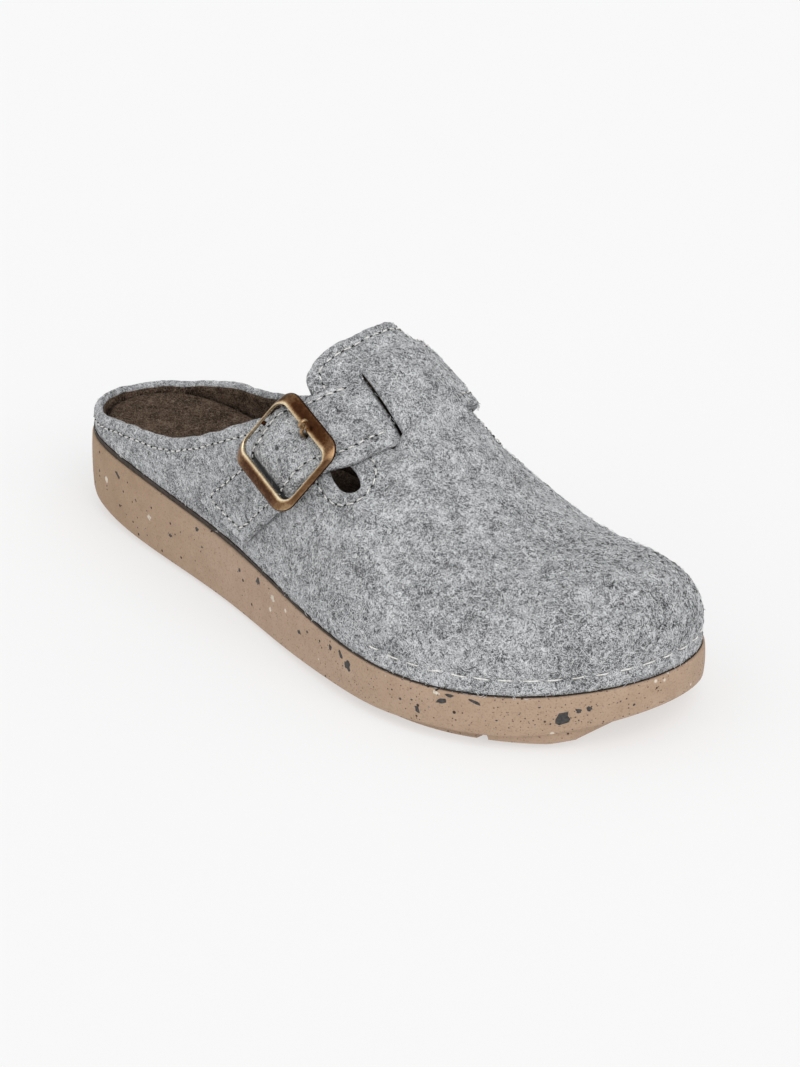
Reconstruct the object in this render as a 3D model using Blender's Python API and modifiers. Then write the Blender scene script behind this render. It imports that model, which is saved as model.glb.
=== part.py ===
"""Felt clog slipper for the right foot, made of separate pieces.

Units are metres and +Z is up. +X points to the toe and +Y to the medial side of the foot.
The origin lies on the floor, under the middle of the sole. A station is the share of the
sole's length from heel (0) to toe (1). Girth runs round the upper: -1 at its lateral lower
edge, 0 on the ridge over the instep and +1 at its medial lower edge.
"""

import math
from collections import namedtuple

import bmesh
import bpy
import numpy as np
from mathutils import Matrix, Vector

MM = 0.001
OBJECT_NAME = "felt_slipper"

# Driving sizes
LENGTH = 255 * MM
FELT_WALL = 3.6 * MM
STRAP_THICKNESS = 3.2 * MM
GAP = 0.3 * MM
WELD = 0.005 * MM

# Sole sections, in millimetres: the edge is the lower corner of the side wall
SoleRow = namedtuple("SoleRow", "station centre_y half_width top_z edge_z edge_radius")
SOLE_ROWS = (
    SoleRow(0.000, 2.70, 0.00, 27.2, 4.6, 4.6),
    SoleRow(0.055, 4.45, 22.75, 26.9, 3.2, 3.8),
    SoleRow(0.150, 4.00, 28.90, 26.0, 1.9, 1.9),
    SoleRow(0.270, 1.70, 30.60, 24.2, 1.4, 1.2),
    SoleRow(0.400, -0.40, 33.10, 22.0, 1.1, 0.9),
    SoleRow(0.530, -1.60, 39.80, 20.0, 1.7, 1.1),
    SoleRow(0.650, -1.15, 46.85, 18.4, 3.2, 1.4),
    SoleRow(0.740, 0.00, 49.20, 17.5, 3.6, 1.2),
    SoleRow(0.830, 2.60, 46.30, 17.4, 4.4, 1.0),
    SoleRow(0.910, 6.20, 37.80, 18.6, 5.4, 1.0),
    SoleRow(0.970, 9.30, 23.60, 20.6, 9.0, 1.0),
    SoleRow(1.000, 10.20, 0.00, 22.0, 11.5, 1.0),
)
SOLE_TOP_EDGE = 0.8 * MM
SOLE_BULGE = 0.3 * MM

# Tread lugs: stations of their ends, inset from the side wall and height of the face over the floor
Lug = namedtuple("Lug", "start end inset_mm face_mm")
LUGS = (
    Lug(0.040, 0.130, 0.8, 0.0),
    Lug(0.147, 0.248, 0.8, 0.0),
    Lug(0.265, 0.366, 0.8, 0.0),
    Lug(0.383, 0.470, 0.5, 0.4),
    Lug(0.487, 0.566, 0.5, 0.4),
    Lug(0.583, 0.684, 3.0, 0.8),
    Lug(0.702, 0.860, 4.2, 0.0),
    Lug(0.876, 0.956, 0.8, 2.1),
)
LUG_HEIGHT = 4.4 * MM
LUG_DRAFT = 0.4 * MM
LUG_WALL = 0.0016

# Thin layer between sole and felt: its height, with a gap above and below, tapers to the toe
MIDSOLE_INSET = 0.6 * MM
LAYER_HEEL = 2.4 * MM
LAYER_TOE = 1.6 * MM

INSOLE_INSET = 6.0 * MM
INSOLE_HEEL = 3.0 * MM
INSOLE_TOE = 2.8 * MM
INSOLE_CUP = 1.6 * MM

# Ridge of the upper over the instep and toes, with places in millimetres
RidgeRow = namedtuple("RidgeRow", "along y z")
RIDGE_ROWS = (
    RidgeRow(0.20, 4.7, 110.0),
    RidgeRow(0.35, 5.7, 106.0),
    RidgeRow(0.45, 6.7, 97.6),
    RidgeRow(0.55, 6.7, 84.2),
    RidgeRow(0.65, 5.7, 69.3),
    RidgeRow(0.75, 5.7, 55.8),
    RidgeRow(0.85, 7.2, 50.5),
    RidgeRow(0.93, 9.2, 49.7),
    RidgeRow(1.00, 10.2, 46.3),
)
RIDGE_START = 0.20
RIDGE_END = 0.86
FEATHER_HEEL = 0.8 * MM
FEATHER_TOE = 0.8 * MM

# Rows of the felt's mesh lie closer together towards its lower edge
FOOT_CROWDING = 1.4

# Exponent of each side of a cross section: 2 is an ellipse and more is squarer
FullnessRow = namedtuple("FullnessRow", "station lateral medial")
FULLNESS_ROWS = (
    FullnessRow(0.00, 2.60, 2.60),
    FullnessRow(0.30, 2.20, 2.20),
    FullnessRow(0.45, 1.95, 2.30),
    FullnessRow(0.60, 2.05, 1.86),
    FullnessRow(0.75, 2.25, 1.84),
    FullnessRow(0.90, 2.65, 2.32),
    FullnessRow(1.00, 3.50, 3.50),
)

# Side view of the collar, notch and flap edge, in millimetres from the back of the heel
CollarRow = namedtuple("CollarRow", "along z")
COLLAR_ROWS = (
    CollarRow(-12.0, 35.3),
    CollarRow(4.0, 35.4),
    CollarRow(18.0, 36.9),
    CollarRow(33.5, 39.8),
    CollarRow(52.0, 42.5),
    CollarRow(69.0, 47.1),
    CollarRow(85.0, 54.7),
    CollarRow(99.0, 62.4),
    CollarRow(109.0, 67.7),
    CollarRow(117.0, 70.1),
    CollarRow(126.0, 69.5),
    CollarRow(137.0, 65.6),
    CollarRow(143.4, 61.8),
    CollarRow(147.5, 59.6),
    CollarRow(151.2, 58.8),
    CollarRow(155.0, 59.4),
    CollarRow(156.8, 60.9),
    CollarRow(155.5, 62.6),
    CollarRow(151.0, 64.8),
    CollarRow(130.0, 74.9),
    CollarRow(123.4, 79.0),
    CollarRow(119.3, 82.3),
    CollarRow(118.4, 86.2),
    CollarRow(120.0, 90.6),
    CollarRow(124.3, 95.6),
    CollarRow(126.8, 103.4),
    CollarRow(127.2, 116.0),
)
# The medial side of the collar is lower by this much for each metre across
COLLAR_TILT = 0.03
COLLAR_POINTS = 96
CUT_TOP = 140 * MM
CUT_HALF_WIDTH = 90 * MM

# Slit for the strap on each side, and the felt that the strap lifts between the slits
SLIT_START = 0.487
SLIT_END = 0.640
SLIT_INNER = 0.195
SLIT_OUTER = 0.235
SLIT_LIFT = 2.4 * MM
PILLOW_HEIGHT = 4.2 * MM
PILLOW_STATION = 0.53
PILLOW_REACH = 0.13
PILLOW_GIRTH = 0.10
PILLOW_SPREAD = 0.30

# Strap edges on the upper: rise is 0 at the lower edge of the felt and 1 on the ridge
StrapRow = namedtuple("StrapRow", "rise rear front")
STRAP_ROWS = (
    StrapRow(0.050, 0.334, 0.443),
    StrapRow(0.155, 0.381, 0.481),
    StrapRow(0.250, 0.417, 0.510),
    StrapRow(0.360, 0.4435, 0.5345),
    StrapRow(0.480, 0.4645, 0.5645),
    StrapRow(0.600, 0.482, 0.600),
    StrapRow(0.700, 0.497, 0.613),
    StrapRow(0.790, 0.503, 0.625),
    StrapRow(1.000, 0.508, 0.631),
)
# On the medial side the strap lies further back by this share of the sole's length
STRAP_MEDIAL_SHIFT = 0.011
STRAP_ACROSS = 7
STRAP_CROWN = 0.5 * MM
BRIDGE_GAP = 0.9 * MM
STRAP_GAP = 0.45 * MM

# Buckle, in its own flat axes: along the strap, across it and out from the felt
BUCKLE_STATION = 0.4995
BUCKLE_GIRTH = -0.589
BUCKLE_TURN = math.radians(16)
BUCKLE_LEAN = math.radians(7.4)
BUCKLE_ROLL = math.radians(3)
FRAME_HALF_LENGTH = 14.8 * MM
FRAME_HALF_WIDTH = 15.8 * MM
FRAME_CORNER = 5.8 * MM
REAR_BAR = 4.5 * MM
FRONT_BAR = 5.1 * MM
SIDE_BAR = 1.4 * MM
WINDOW_CORNER = 4.0 * MM
FRAME_LOW = 5.5 * MM
FRAME_HEIGHT = 1.9 * MM
SIDE_SKIRT = 0.6 * MM
SKIRT_POWER = 6
CENTRE_BAR_WIDTH = 2.2 * MM
CENTRE_BAR_LOW = 1.2 * MM
CENTRE_BAR_HIGH = 2.2 * MM
STRAP_HUMP = 2.8 * MM
HUMP_REACH = 4.8 * MM
HUMP_SPREAD = 12.5 * MM
PRONG_RADIUS = 0.65 * MM
PRONG_EYE = 1.2 * MM
PRONG_EYE_BACK = 1.7 * MM
PRONG_ACROSS = -1.0 * MM
PRONG_EYE_TURN = (-20, 235)
STRAP_HOLE_RADIUS = 1.4 * MM
POST_OVERLAP = 0.1 * MM

# Tip of the prong, in millimetres from the inner edge of the front bar and from its rim
TipRow = namedtuple("TipRow", "along height")
TIP_ROWS = (
    TipRow(-0.9, 0.6),
    TipRow(-2.2, -1.2),
    TipRow(-2.6, -2.4),
    TipRow(-2.6, -5.6),
)

# Section of the buckle's bars: share of the bar from its outer side and share of its height
BarRow = namedtuple("BarRow", "share level")
BAR_ROWS = (
    BarRow(0.00, 0.00),
    BarRow(0.00, 0.18),
    BarRow(0.06, 0.32),
    BarRow(0.50, 0.76),
    BarRow(0.80, 1.00),
    BarRow(0.93, 0.96),
    BarRow(1.00, 0.80),
    BarRow(1.00, 0.00),
)


def smooth_curve(knots, values):
    """Natural cubic spline through the values at the knots, as a function."""
    knots = np.asarray(knots, float)
    values = np.asarray(values, float)
    steps = np.diff(knots)
    system = np.eye(len(knots))
    right = np.zeros(len(knots))
    for i in range(1, len(knots) - 1):
        system[i, i - 1:i + 2] = steps[i - 1], 2 * (steps[i - 1] + steps[i]), steps[i]
        rise_after = (values[i + 1] - values[i]) / steps[i]
        rise_before = (values[i] - values[i - 1]) / steps[i - 1]
        right[i] = 6 * (rise_after - rise_before)
    bends = np.linalg.solve(system, right)

    def value_at(place):
        place = np.asarray(place, float)
        i = np.clip(np.searchsorted(knots, place) - 1, 0, len(knots) - 2)
        before = (knots[i + 1] - place) / steps[i]
        after = (place - knots[i]) / steps[i]
        bow = (before ** 3 - before) * bends[i] + (after ** 3 - after) * bends[i + 1]
        return before * values[i] + after * values[i + 1] + bow * steps[i] ** 2 / 6

    return value_at


def column(rows, name):
    return np.array([getattr(row, name) for row in rows])


def angle_of(station):
    """Angle round a circle seen from the side, which lets the sole's ends be round."""
    return np.arccos(1 - 2 * np.clip(station, 0, 1))


def station_at(angle):
    return (1 - np.cos(angle)) / 2


def stations_between(start, end, count):
    return station_at(np.linspace(angle_of(start), angle_of(end), count))


SOLE_STATIONS = column(SOLE_ROWS, "station")
SOLE_ANGLES = angle_of(SOLE_STATIONS)
centre_by_angle = smooth_curve(SOLE_ANGLES, column(SOLE_ROWS, "centre_y") * MM)
half_by_angle = smooth_curve(SOLE_ANGLES, column(SOLE_ROWS, "half_width") * MM)
sole_top = smooth_curve(SOLE_STATIONS, column(SOLE_ROWS, "top_z") * MM)
sole_edge = smooth_curve(SOLE_STATIONS, column(SOLE_ROWS, "edge_z") * MM)
edge_radius = smooth_curve(SOLE_STATIONS, column(SOLE_ROWS, "edge_radius") * MM)
ridge_y = smooth_curve(column(RIDGE_ROWS, "along"), column(RIDGE_ROWS, "y") * MM)
ridge_z = smooth_curve(column(RIDGE_ROWS, "along"), column(RIDGE_ROWS, "z") * MM)
lateral_fullness = smooth_curve(column(FULLNESS_ROWS, "station"), column(FULLNESS_ROWS, "lateral"))
medial_fullness = smooth_curve(column(FULLNESS_ROWS, "station"), column(FULLNESS_ROWS, "medial"))
strap_rear = smooth_curve(column(STRAP_ROWS, "rise"), column(STRAP_ROWS, "rear"))
strap_front = smooth_curve(column(STRAP_ROWS, "rise"), column(STRAP_ROWS, "front"))


def outline_at(side, angle):
    """Plan of the sole: side is -1 for lateral and +1 for medial."""
    x = LENGTH * (station_at(angle) - 0.5)
    y = centre_by_angle(angle) + side * half_by_angle(angle)
    return np.stack([x, y], -1)


def inset_outline(side, station, inset):
    """Plan of the sole moved inwards, square to its edge."""
    angle = angle_of(station)
    step = 1e-5
    before = outline_at(side, np.clip(angle - step, 0, math.pi))
    after = outline_at(side, np.clip(angle + step, 0, math.pi))
    along = after - before
    along /= np.linalg.norm(along, axis=-1, keepdims=True)
    side = np.asarray(side, float)[..., None]
    inward = np.stack([along[..., 1], -along[..., 0]], -1) * side
    return outline_at(side[..., 0], angle) + inward * np.asarray(inset)[..., None]


def layer_height(station):
    return LAYER_HEEL + (LAYER_TOE - LAYER_HEEL) * station


def upper_point(station, girth):
    """Outside of the felt before the strap lifts it."""
    station, girth = np.broadcast_arrays(np.asarray(station, float), np.asarray(girth, float))
    side = np.where(girth < 0, -1.0, 1.0)
    rise = np.clip(1 - np.abs(girth), 0, 1)
    foot = inset_outline(side, station, FEATHER_HEEL + (FEATHER_TOE - FEATHER_HEEL) * station)
    foot_z = sole_top(station) + layer_height(station)
    along = RIDGE_START + (RIDGE_END - RIDGE_START) * station
    crest = np.stack([LENGTH * (along - 0.5), ridge_y(along)], -1)
    power = 2 / np.where(girth < 0, lateral_fullness(station), medial_fullness(station))
    out = np.clip(np.cos(rise * math.pi / 2), 0, 1) ** power
    up = np.sin(rise * math.pi / 2) ** power
    plan = foot * out[..., None] + crest * (1 - out)[..., None]
    z = foot_z * (1 - up) + ridge_z(plan[..., 0] / LENGTH + 0.5) * up
    return np.concatenate([plan, z[..., None]], -1)


def upper_normal(station, girth):
    step = 1e-3
    along = upper_point(station + step, girth) - upper_point(station - step, girth)
    around = upper_point(station, girth + step) - upper_point(station, girth - step)
    normal = np.cross(along, around)
    return normal / np.linalg.norm(normal, axis=-1, keepdims=True)


def felt_lift(station, girth):
    """How far the strap lifts the felt, with a step at each slit."""
    along = (station - PILLOW_STATION) / PILLOW_REACH
    around = (girth - PILLOW_GIRTH) / PILLOW_SPREAD
    pillow = PILLOW_HEIGHT * np.exp(-along ** 2 - around ** 2)
    middle = (SLIT_START + SLIT_END) / 2
    across = (station - middle) / (SLIT_END - SLIT_START) * 2
    mouth = SLIT_LIFT * np.sqrt(np.clip(1 - across ** 2, 0, None))
    on_bridge = np.abs(girth) < (SLIT_INNER + SLIT_OUTER) / 2
    return pillow + np.where(on_bridge, mouth, 0)


def felt_point(station, girth, out=0.0):
    """Outside of the felt, or a place out from it."""
    station, girth = np.broadcast_arrays(np.asarray(station, float), np.asarray(girth, float))
    move = np.where(felt_lift(station, girth) + np.abs(out) > 0.01 * MM,
                    felt_lift(station, girth) + out, 0)
    safe = np.clip(station, 0.01, 0.99)
    return upper_point(station, girth) + upper_normal(safe, girth) * move[..., None]


def collection_named(name):
    collection = bpy.data.collections.new(name)
    bpy.context.scene.collection.children.link(collection)
    return collection


def finish_material(name, colour, roughness, metallic=0.0):
    material = bpy.data.materials.new(name)
    material.use_nodes = True
    shader = material.node_tree.nodes["Principled BSDF"]
    shader.inputs["Base Color"].default_value = (*colour, 1)
    shader.inputs["Roughness"].default_value = roughness
    shader.inputs["Metallic"].default_value = metallic
    return material


def mesh_object(name, points, faces, collection, material=None, smooth_angle=40):
    """Mesh from a grid of points, welded where the grid closes on itself."""
    mesh = bpy.data.meshes.new(name)
    mesh.from_pydata([tuple(point) for point in points], [], faces)
    work = bmesh.new()
    work.from_mesh(mesh)
    bmesh.ops.remove_doubles(work, verts=work.verts, dist=WELD)
    bmesh.ops.dissolve_degenerate(work, edges=work.edges, dist=WELD)
    bmesh.ops.recalc_face_normals(work, faces=work.faces)
    if work.calc_volume(signed=True) < 0:
        bmesh.ops.reverse_faces(work, faces=work.faces)
    work.to_mesh(mesh)
    work.free()
    mesh.shade_smooth()
    mesh.set_sharp_from_angle(angle=math.radians(smooth_angle))
    item = bpy.data.objects.new(name, mesh)
    collection.objects.link(item)
    if material:
        mesh.materials.append(material)
    return item


def grid_faces(rows, columns, first=0, closed_rows=False, closed_columns=False):
    """Quads of a grid of points that is stored row by row."""
    faces = []
    for row in range(rows if closed_rows else rows - 1):
        for place in range(columns if closed_columns else columns - 1):
            next_row = (row + 1) % rows
            next_place = (place + 1) % columns
            corners = [(row, place), (next_row, place), (next_row, next_place), (row, next_place)]
            faces.append([first + r * columns + c for r, c in corners])
    return faces


def slab(low, high):
    """Closed body between two grids of points of one size."""
    rows, columns = low.shape[:2]
    points = np.concatenate([low.reshape(-1, 3), high.reshape(-1, 3)])
    shift = rows * columns
    faces = grid_faces(rows, columns)
    faces += grid_faces(rows, columns, first=shift)
    rim = [r * columns for r in range(rows)]
    rim += [(rows - 1) * columns + c for c in range(1, columns)]
    rim += [r * columns + columns - 1 for r in reversed(range(rows - 1))]
    rim += [c for c in reversed(range(1, columns - 1))]
    for here, there in zip(rim, rim[1:] + rim[:1]):
        faces.append([here, there, there + shift, here + shift])
    return points, faces


def make_cutter(item):
    item.hide_render = True
    item.display_type = "WIRE"


def add_boolean(item, cutter, operation):
    modifier = item.modifiers.new(f"{operation.lower()} {cutter.name}", "BOOLEAN")
    modifier.operation = operation
    modifier.solver = "EXACT"
    modifier.object = cutter


def lug_at(station):
    for lug in LUGS:
        if lug.start <= station <= lug.end:
            return lug
    return None


def sole_stations():
    """Stations of the sole, with a pair close together at each end of a lug."""
    ends = []
    for lug in LUGS:
        ends += [lug.start - LUG_WALL, lug.start, lug.end, lug.end + LUG_WALL]
    ends = np.array(ends)
    even = stations_between(0, 1, 45)
    apart = np.abs(even[:, None] - ends[None, :]).min(axis=1) > 0.006
    return np.sort(np.concatenate([even[apart], ends]))


def sole_half_section(side, station):
    """Points down one side of the sole, from its top edge to the tread."""
    radius = edge_radius(station)
    top = sole_top(station)
    edge = sole_edge(station)
    lug = lug_at(station)
    tread = edge
    lug_inset = LUGS[-1].inset_mm * MM
    if lug:
        tread = max(lug.face_mm * MM, edge - LUG_HEIGHT)
        lug_inset = lug.inset_mm * MM
    profile = (
        (SOLE_TOP_EDGE, top),
        (0, top - SOLE_TOP_EDGE),
        (-SOLE_BULGE, (top + edge) / 2),
        (0, edge + radius),
        (0.3 * radius, edge + 0.3 * radius),
        (radius, edge),
        (radius + lug_inset, edge),
        (radius + lug_inset + LUG_DRAFT, tread),
    )
    points = []
    for inset, z in profile:
        x, y = inset_outline(side, station, inset)
        points.append((x, y, z))
    return points


def make_sole(collection):
    points = []
    stations = sole_stations()
    for station in stations:
        lateral = sole_half_section(-1, station)
        medial = sole_half_section(1, station)
        points += lateral + medial[::-1]
    columns = len(points) // len(stations)
    faces = grid_faces(len(stations), columns, closed_columns=True)
    material = finish_material("tan_rubber", (0.45, 0.31, 0.22), 0.7)
    return mesh_object("sole", points, faces, collection, material, smooth_angle=35)


def plan_grid(stations, inset, shares):
    """Points in plan across the sole: shares run from -1, lateral, to +1, medial."""
    lateral = inset_outline(-1, stations, np.full(stations.shape, inset))
    medial = inset_outline(1, stations, np.full(stations.shape, inset))
    across = (shares + 1) / 2
    return lateral[:, None] * (1 - across)[None, :, None] + medial[:, None] * across[None, :, None]


def with_height(plan, z):
    return np.concatenate([plan, np.broadcast_to(z, plan.shape[:2])[..., None]], -1)


def make_midsole(collection):
    stations = stations_between(0, 1, 41)
    plan = plan_grid(stations, MIDSOLE_INSET, np.array([-1.0, 1.0]))
    low = (sole_top(stations) + GAP)[:, None]
    high = (sole_top(stations) + layer_height(stations) - GAP)[:, None]
    points, faces = slab(with_height(plan, low), with_height(plan, high))
    material = finish_material("dark_brown_board", (0.06, 0.045, 0.035), 0.8)
    return mesh_object("midsole", points, faces, collection, material)


def make_insole(collection):
    stations = stations_between(0, 1, 41)
    shares = np.array([-1.0, -0.8, -0.4, 0.0, 0.4, 0.8, 1.0])
    plan = plan_grid(stations, INSOLE_INSET, shares)
    low = (sole_top(stations) + layer_height(stations))[:, None]
    thickness = INSOLE_HEEL + (INSOLE_TOE - INSOLE_HEEL) * stations
    depth = INSOLE_CUP * (1 - stations) * np.sin(angle_of(stations))
    cup = depth[:, None] * (shares ** 2 - 1)[None, :]
    points, faces = slab(with_height(plan, low), with_height(plan, low + thickness[:, None] + cup))
    material = finish_material("brown_felt", (0.10, 0.075, 0.055), 0.95)
    return mesh_object("insole", points, faces, collection, material)


def make_collar_cutter(collection):
    """Prism that takes away everything above the collar and inside the notches."""
    along = column(COLLAR_ROWS, "along") * MM - LENGTH / 2
    z = column(COLLAR_ROWS, "z") * MM
    reach = np.concatenate([[0], np.cumsum(np.hypot(np.diff(along), np.diff(z)))])
    places = np.linspace(0, reach[-1], COLLAR_POINTS)
    profile = list(zip(smooth_curve(reach, along)(places), smooth_curve(reach, z)(places)))
    profile += [(profile[-1][0], CUT_TOP), (profile[0][0], CUT_TOP)]
    count = len(profile)
    drop = COLLAR_TILT * CUT_HALF_WIDTH
    points = [(x, -CUT_HALF_WIDTH, z + drop) for x, z in profile]
    points += [(x, CUT_HALF_WIDTH, z - drop) for x, z in profile]
    faces = [list(range(count)), [count + i for i in range(count)]]
    for i in range(count):
        after = (i + 1) % count
        faces.append([i, after, count + after, count + i])
    cutter = mesh_object("collar_cutter", points, faces, collection)
    make_cutter(cutter)
    return cutter


def make_upper(collection, cutters):
    """One felt shell: a loft, thickened inwards and then cut at the collar."""
    rear = stations_between(0, SLIT_START, 21)
    slit = np.linspace(SLIT_START, SLIT_END, 9)
    toe = stations_between(SLIT_END, 1, 18)
    stations = np.concatenate([rear, slit[1:], toe[1:]])
    to_foot = 1 - (1 - SLIT_OUTER) * np.linspace(1, 0, 13) ** FOOT_CROWDING
    half = np.concatenate([np.linspace(0, SLIT_INNER, 5), to_foot])
    girths = np.concatenate([-half[:0:-1], half])
    points = felt_point(stations[:, None], girths[None, :])
    faces = []
    for face in grid_faces(len(stations), len(girths)):
        row, place = divmod(face[0], len(girths))
        middle_station = (stations[row] + stations[row + 1]) / 2
        middle_girth = abs(girths[place] + girths[place + 1]) / 2
        in_slit_length = SLIT_START < middle_station < SLIT_END
        in_slit_width = SLIT_INNER < middle_girth < SLIT_OUTER
        if not (in_slit_length and in_slit_width):
            faces.append(face)
    material = finish_material("grey_felt", (0.30, 0.31, 0.33), 0.95)
    upper = mesh_object("upper", points.reshape(-1, 3), faces, collection, material)
    shell = upper.modifiers.new("wall", "SOLIDIFY")
    shell.thickness = FELT_WALL
    shell.offset = -1
    shell.use_even_offset = True
    add_boolean(upper, make_collar_cutter(cutters), "DIFFERENCE")
    return upper


BuckleFrame = namedtuple("BuckleFrame", "centre along across out")


def buckle_frame_axes():
    """Axes of the buckle: it lies flat over the strap, turned and leaning a little."""
    rise = 1 + BUCKLE_GIRTH
    step = 0.02
    middle = (strap_rear(rise) + strap_front(rise)) / 2
    later = (strap_rear(rise + step) + strap_front(rise + step)) / 2
    centre = felt_point(BUCKLE_STATION, BUCKLE_GIRTH)
    out = Vector(upper_normal(BUCKLE_STATION, BUCKLE_GIRTH))
    run = Vector(felt_point(later, BUCKLE_GIRTH + step) - felt_point(middle, BUCKLE_GIRTH))
    along = (run - out * run.dot(out)).normalized()
    along = Matrix.Rotation(BUCKLE_TURN, 3, out) @ along
    across = out.cross(along)
    lean = Matrix.Rotation(BUCKLE_ROLL, 3, along) @ Matrix.Rotation(BUCKLE_LEAN, 3, across)
    return BuckleFrame(centre, np.array(lean @ along), np.array(lean @ across), np.array(lean @ out))


def buckle_point(frame, a, b, height):
    """World place of a point in the buckle's own axes."""
    a, b, height = np.broadcast_arrays(np.asarray(a, float), b, height)
    return (frame.centre + a[..., None] * frame.along + b[..., None] * frame.across
            + height[..., None] * frame.out)


def rounded_loop(rear, front, half_width, radius, arc_steps=6, bar_steps=4):
    """Rounded rectangle in the buckle's plane, with points along its straight bars too."""
    corners = [(front, half_width, 0), (rear, half_width, 90), (rear, -half_width, 180),
               (front, -half_width, 270)]
    arcs = []
    for a, b, first_angle in corners:
        centre_a = a - math.copysign(radius, a)
        centre_b = b - math.copysign(radius, b)
        turns = np.radians(first_angle + np.linspace(0, 90, arc_steps + 1))
        arcs.append(np.stack([centre_a + radius * np.cos(turns), centre_b + radius * np.sin(turns)], -1))
    loop = []
    for arc, after in zip(arcs, arcs[1:] + arcs[:1]):
        loop += list(arc)
        for step in range(1, bar_steps):
            share = step / bar_steps
            loop.append(arc[-1] * (1 - share) + after[0] * share)
    return np.array(loop)


def make_buckle_frame(collection, cutters, frame):
    outer = rounded_loop(-FRAME_HALF_LENGTH, FRAME_HALF_LENGTH, FRAME_HALF_WIDTH, FRAME_CORNER)
    window = rounded_loop(REAR_BAR - FRAME_HALF_LENGTH, FRAME_HALF_LENGTH - FRONT_BAR,
                          FRAME_HALF_WIDTH - SIDE_BAR, WINDOW_CORNER)
    points = []
    for outside, inside in zip(outer, window):
        side = (abs(outside[1]) / FRAME_HALF_WIDTH) ** SKIRT_POWER
        for row in BAR_ROWS:
            a, b = outside * (1 - row.share) + inside * row.share
            skirt = SIDE_SKIRT * side * (1 - row.share)
            points.append(buckle_point(frame, a, b, FRAME_LOW + FRAME_HEIGHT * row.level - skirt))
    faces = grid_faces(len(outer), len(BAR_ROWS), closed_rows=True, closed_columns=True)
    material = finish_material("antique_brass", (0.30, 0.17, 0.07), 0.35, metallic=1.0)
    buckle = mesh_object("buckle_frame", points, faces, collection, material, smooth_angle=50)
    bar = make_centre_bar(cutters, frame)
    add_boolean(buckle, bar, "UNION")
    return buckle


def make_centre_bar(cutters, frame):
    """Bar under the strap, with a post at each end that joins the side of the frame."""
    post = FRAME_HALF_WIDTH - SIDE_BAR / 2
    post_inside = FRAME_HALF_WIDTH - SIDE_BAR + POST_OVERLAP
    span = post_inside - 2 * POST_OVERLAP
    post_top = FRAME_LOW + 0.35 * FRAME_HEIGHT
    places = [-post, -post_inside, *np.linspace(-span, span, 7), post_inside, post]
    tops = [post_top, post_top, *[CENTRE_BAR_HIGH] * 7, post_top, post_top]
    sides = np.array([-CENTRE_BAR_WIDTH / 2, CENTRE_BAR_WIDTH / 2])
    low = buckle_point(frame, sides[None, :], np.array(places)[:, None], CENTRE_BAR_LOW)
    high = buckle_point(frame, sides[None, :], np.array(places)[:, None], np.array(tops)[:, None])
    points, faces = slab(low, high)
    bar = mesh_object("centre_bar", points, faces, cutters)
    make_cutter(bar)
    return bar


def make_buckle_prong(collection, frame):
    """Wire with an open eye that stands on the front bar and a tip that drops into the strap hole."""
    bar_edge = FRAME_HALF_LENGTH - FRONT_BAR
    rim = FRAME_LOW + FRAME_HEIGHT
    eye_along = bar_edge + PRONG_EYE_BACK
    eye_height = rim + GAP + PRONG_RADIUS + PRONG_EYE
    route = []
    for turn in np.radians(np.linspace(*PRONG_EYE_TURN, 11)):
        route.append((eye_along + PRONG_EYE * math.cos(turn), eye_height + PRONG_EYE * math.sin(turn)))
    for row in TIP_ROWS:
        route.append((bar_edge + row.along * MM, rim + row.height * MM))
    curve = bpy.data.curves.new("buckle_prong", "CURVE")
    curve.dimensions = "3D"
    curve.bevel_depth = PRONG_RADIUS
    curve.bevel_resolution = 2
    curve.use_fill_caps = True
    wire = curve.splines.new("POLY")
    wire.points.add(len(route) - 1)
    for point, (a, height) in zip(wire.points, route):
        point.co = (*buckle_point(frame, a, PRONG_ACROSS, height), 1)
    curve.materials.append(finish_material("prong_brass", (0.30, 0.17, 0.07), 0.35, metallic=1.0))
    prong = bpy.data.objects.new("buckle_prong", curve)
    collection.objects.link(prong)
    return prong


def strap_height(station, girth, frame):
    """Height of the strap's underside over the lifted felt: a hump over the centre bar fades to the front."""
    place = felt_point(station, girth) - frame.centre
    along = place @ frame.along / HUMP_REACH
    across = np.minimum(place @ frame.across, 0) / HUMP_SPREAD
    hump = np.where(girth < 0, STRAP_HUMP * np.exp(-along ** 2 - across ** 6), 0)
    outside = STRAP_GAP + hump
    inside = -FELT_WALL - BRIDGE_GAP - STRAP_THICKNESS
    share = np.clip((np.abs(girth) - SLIT_INNER) / (SLIT_OUTER - SLIT_INNER), 0, 1)
    return inside + (outside - inside) * share


def make_strap(collection, cutters, frame):
    outside = np.linspace(1 - STRAP_ROWS[0].rise, SLIT_OUTER, 24)
    through = np.linspace(SLIT_OUTER, SLIT_INNER, 4)
    under = np.linspace(SLIT_INNER, 0, 5)
    half = np.concatenate([outside, through[1:], under[1:]])
    girths = np.concatenate([-half, half[-2::-1]])[:, None]
    share = np.linspace(0, 1, STRAP_ACROSS)[None, :]
    rise = 1 - np.abs(girths)
    stations = strap_rear(rise) * (1 - share) + strap_front(rise) * share
    crossed = np.clip((girths + SLIT_INNER) / (2 * SLIT_INNER), 0, 1)
    stations = stations - STRAP_MEDIAL_SHIFT * crossed
    girths = np.broadcast_to(girths, stations.shape)
    low = strap_height(stations, girths, frame)
    crown = STRAP_CROWN * (2 * share - 1) ** 4
    points, faces = slab(felt_point(stations, girths, low),
                         felt_point(stations, girths, low + STRAP_THICKNESS - crown))
    material = finish_material("strap_felt", (0.30, 0.31, 0.33), 0.95)
    strap = mesh_object("strap", points, faces, collection, material)
    add_boolean(strap, make_hole_cutter(cutters, frame), "DIFFERENCE")
    return strap


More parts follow.
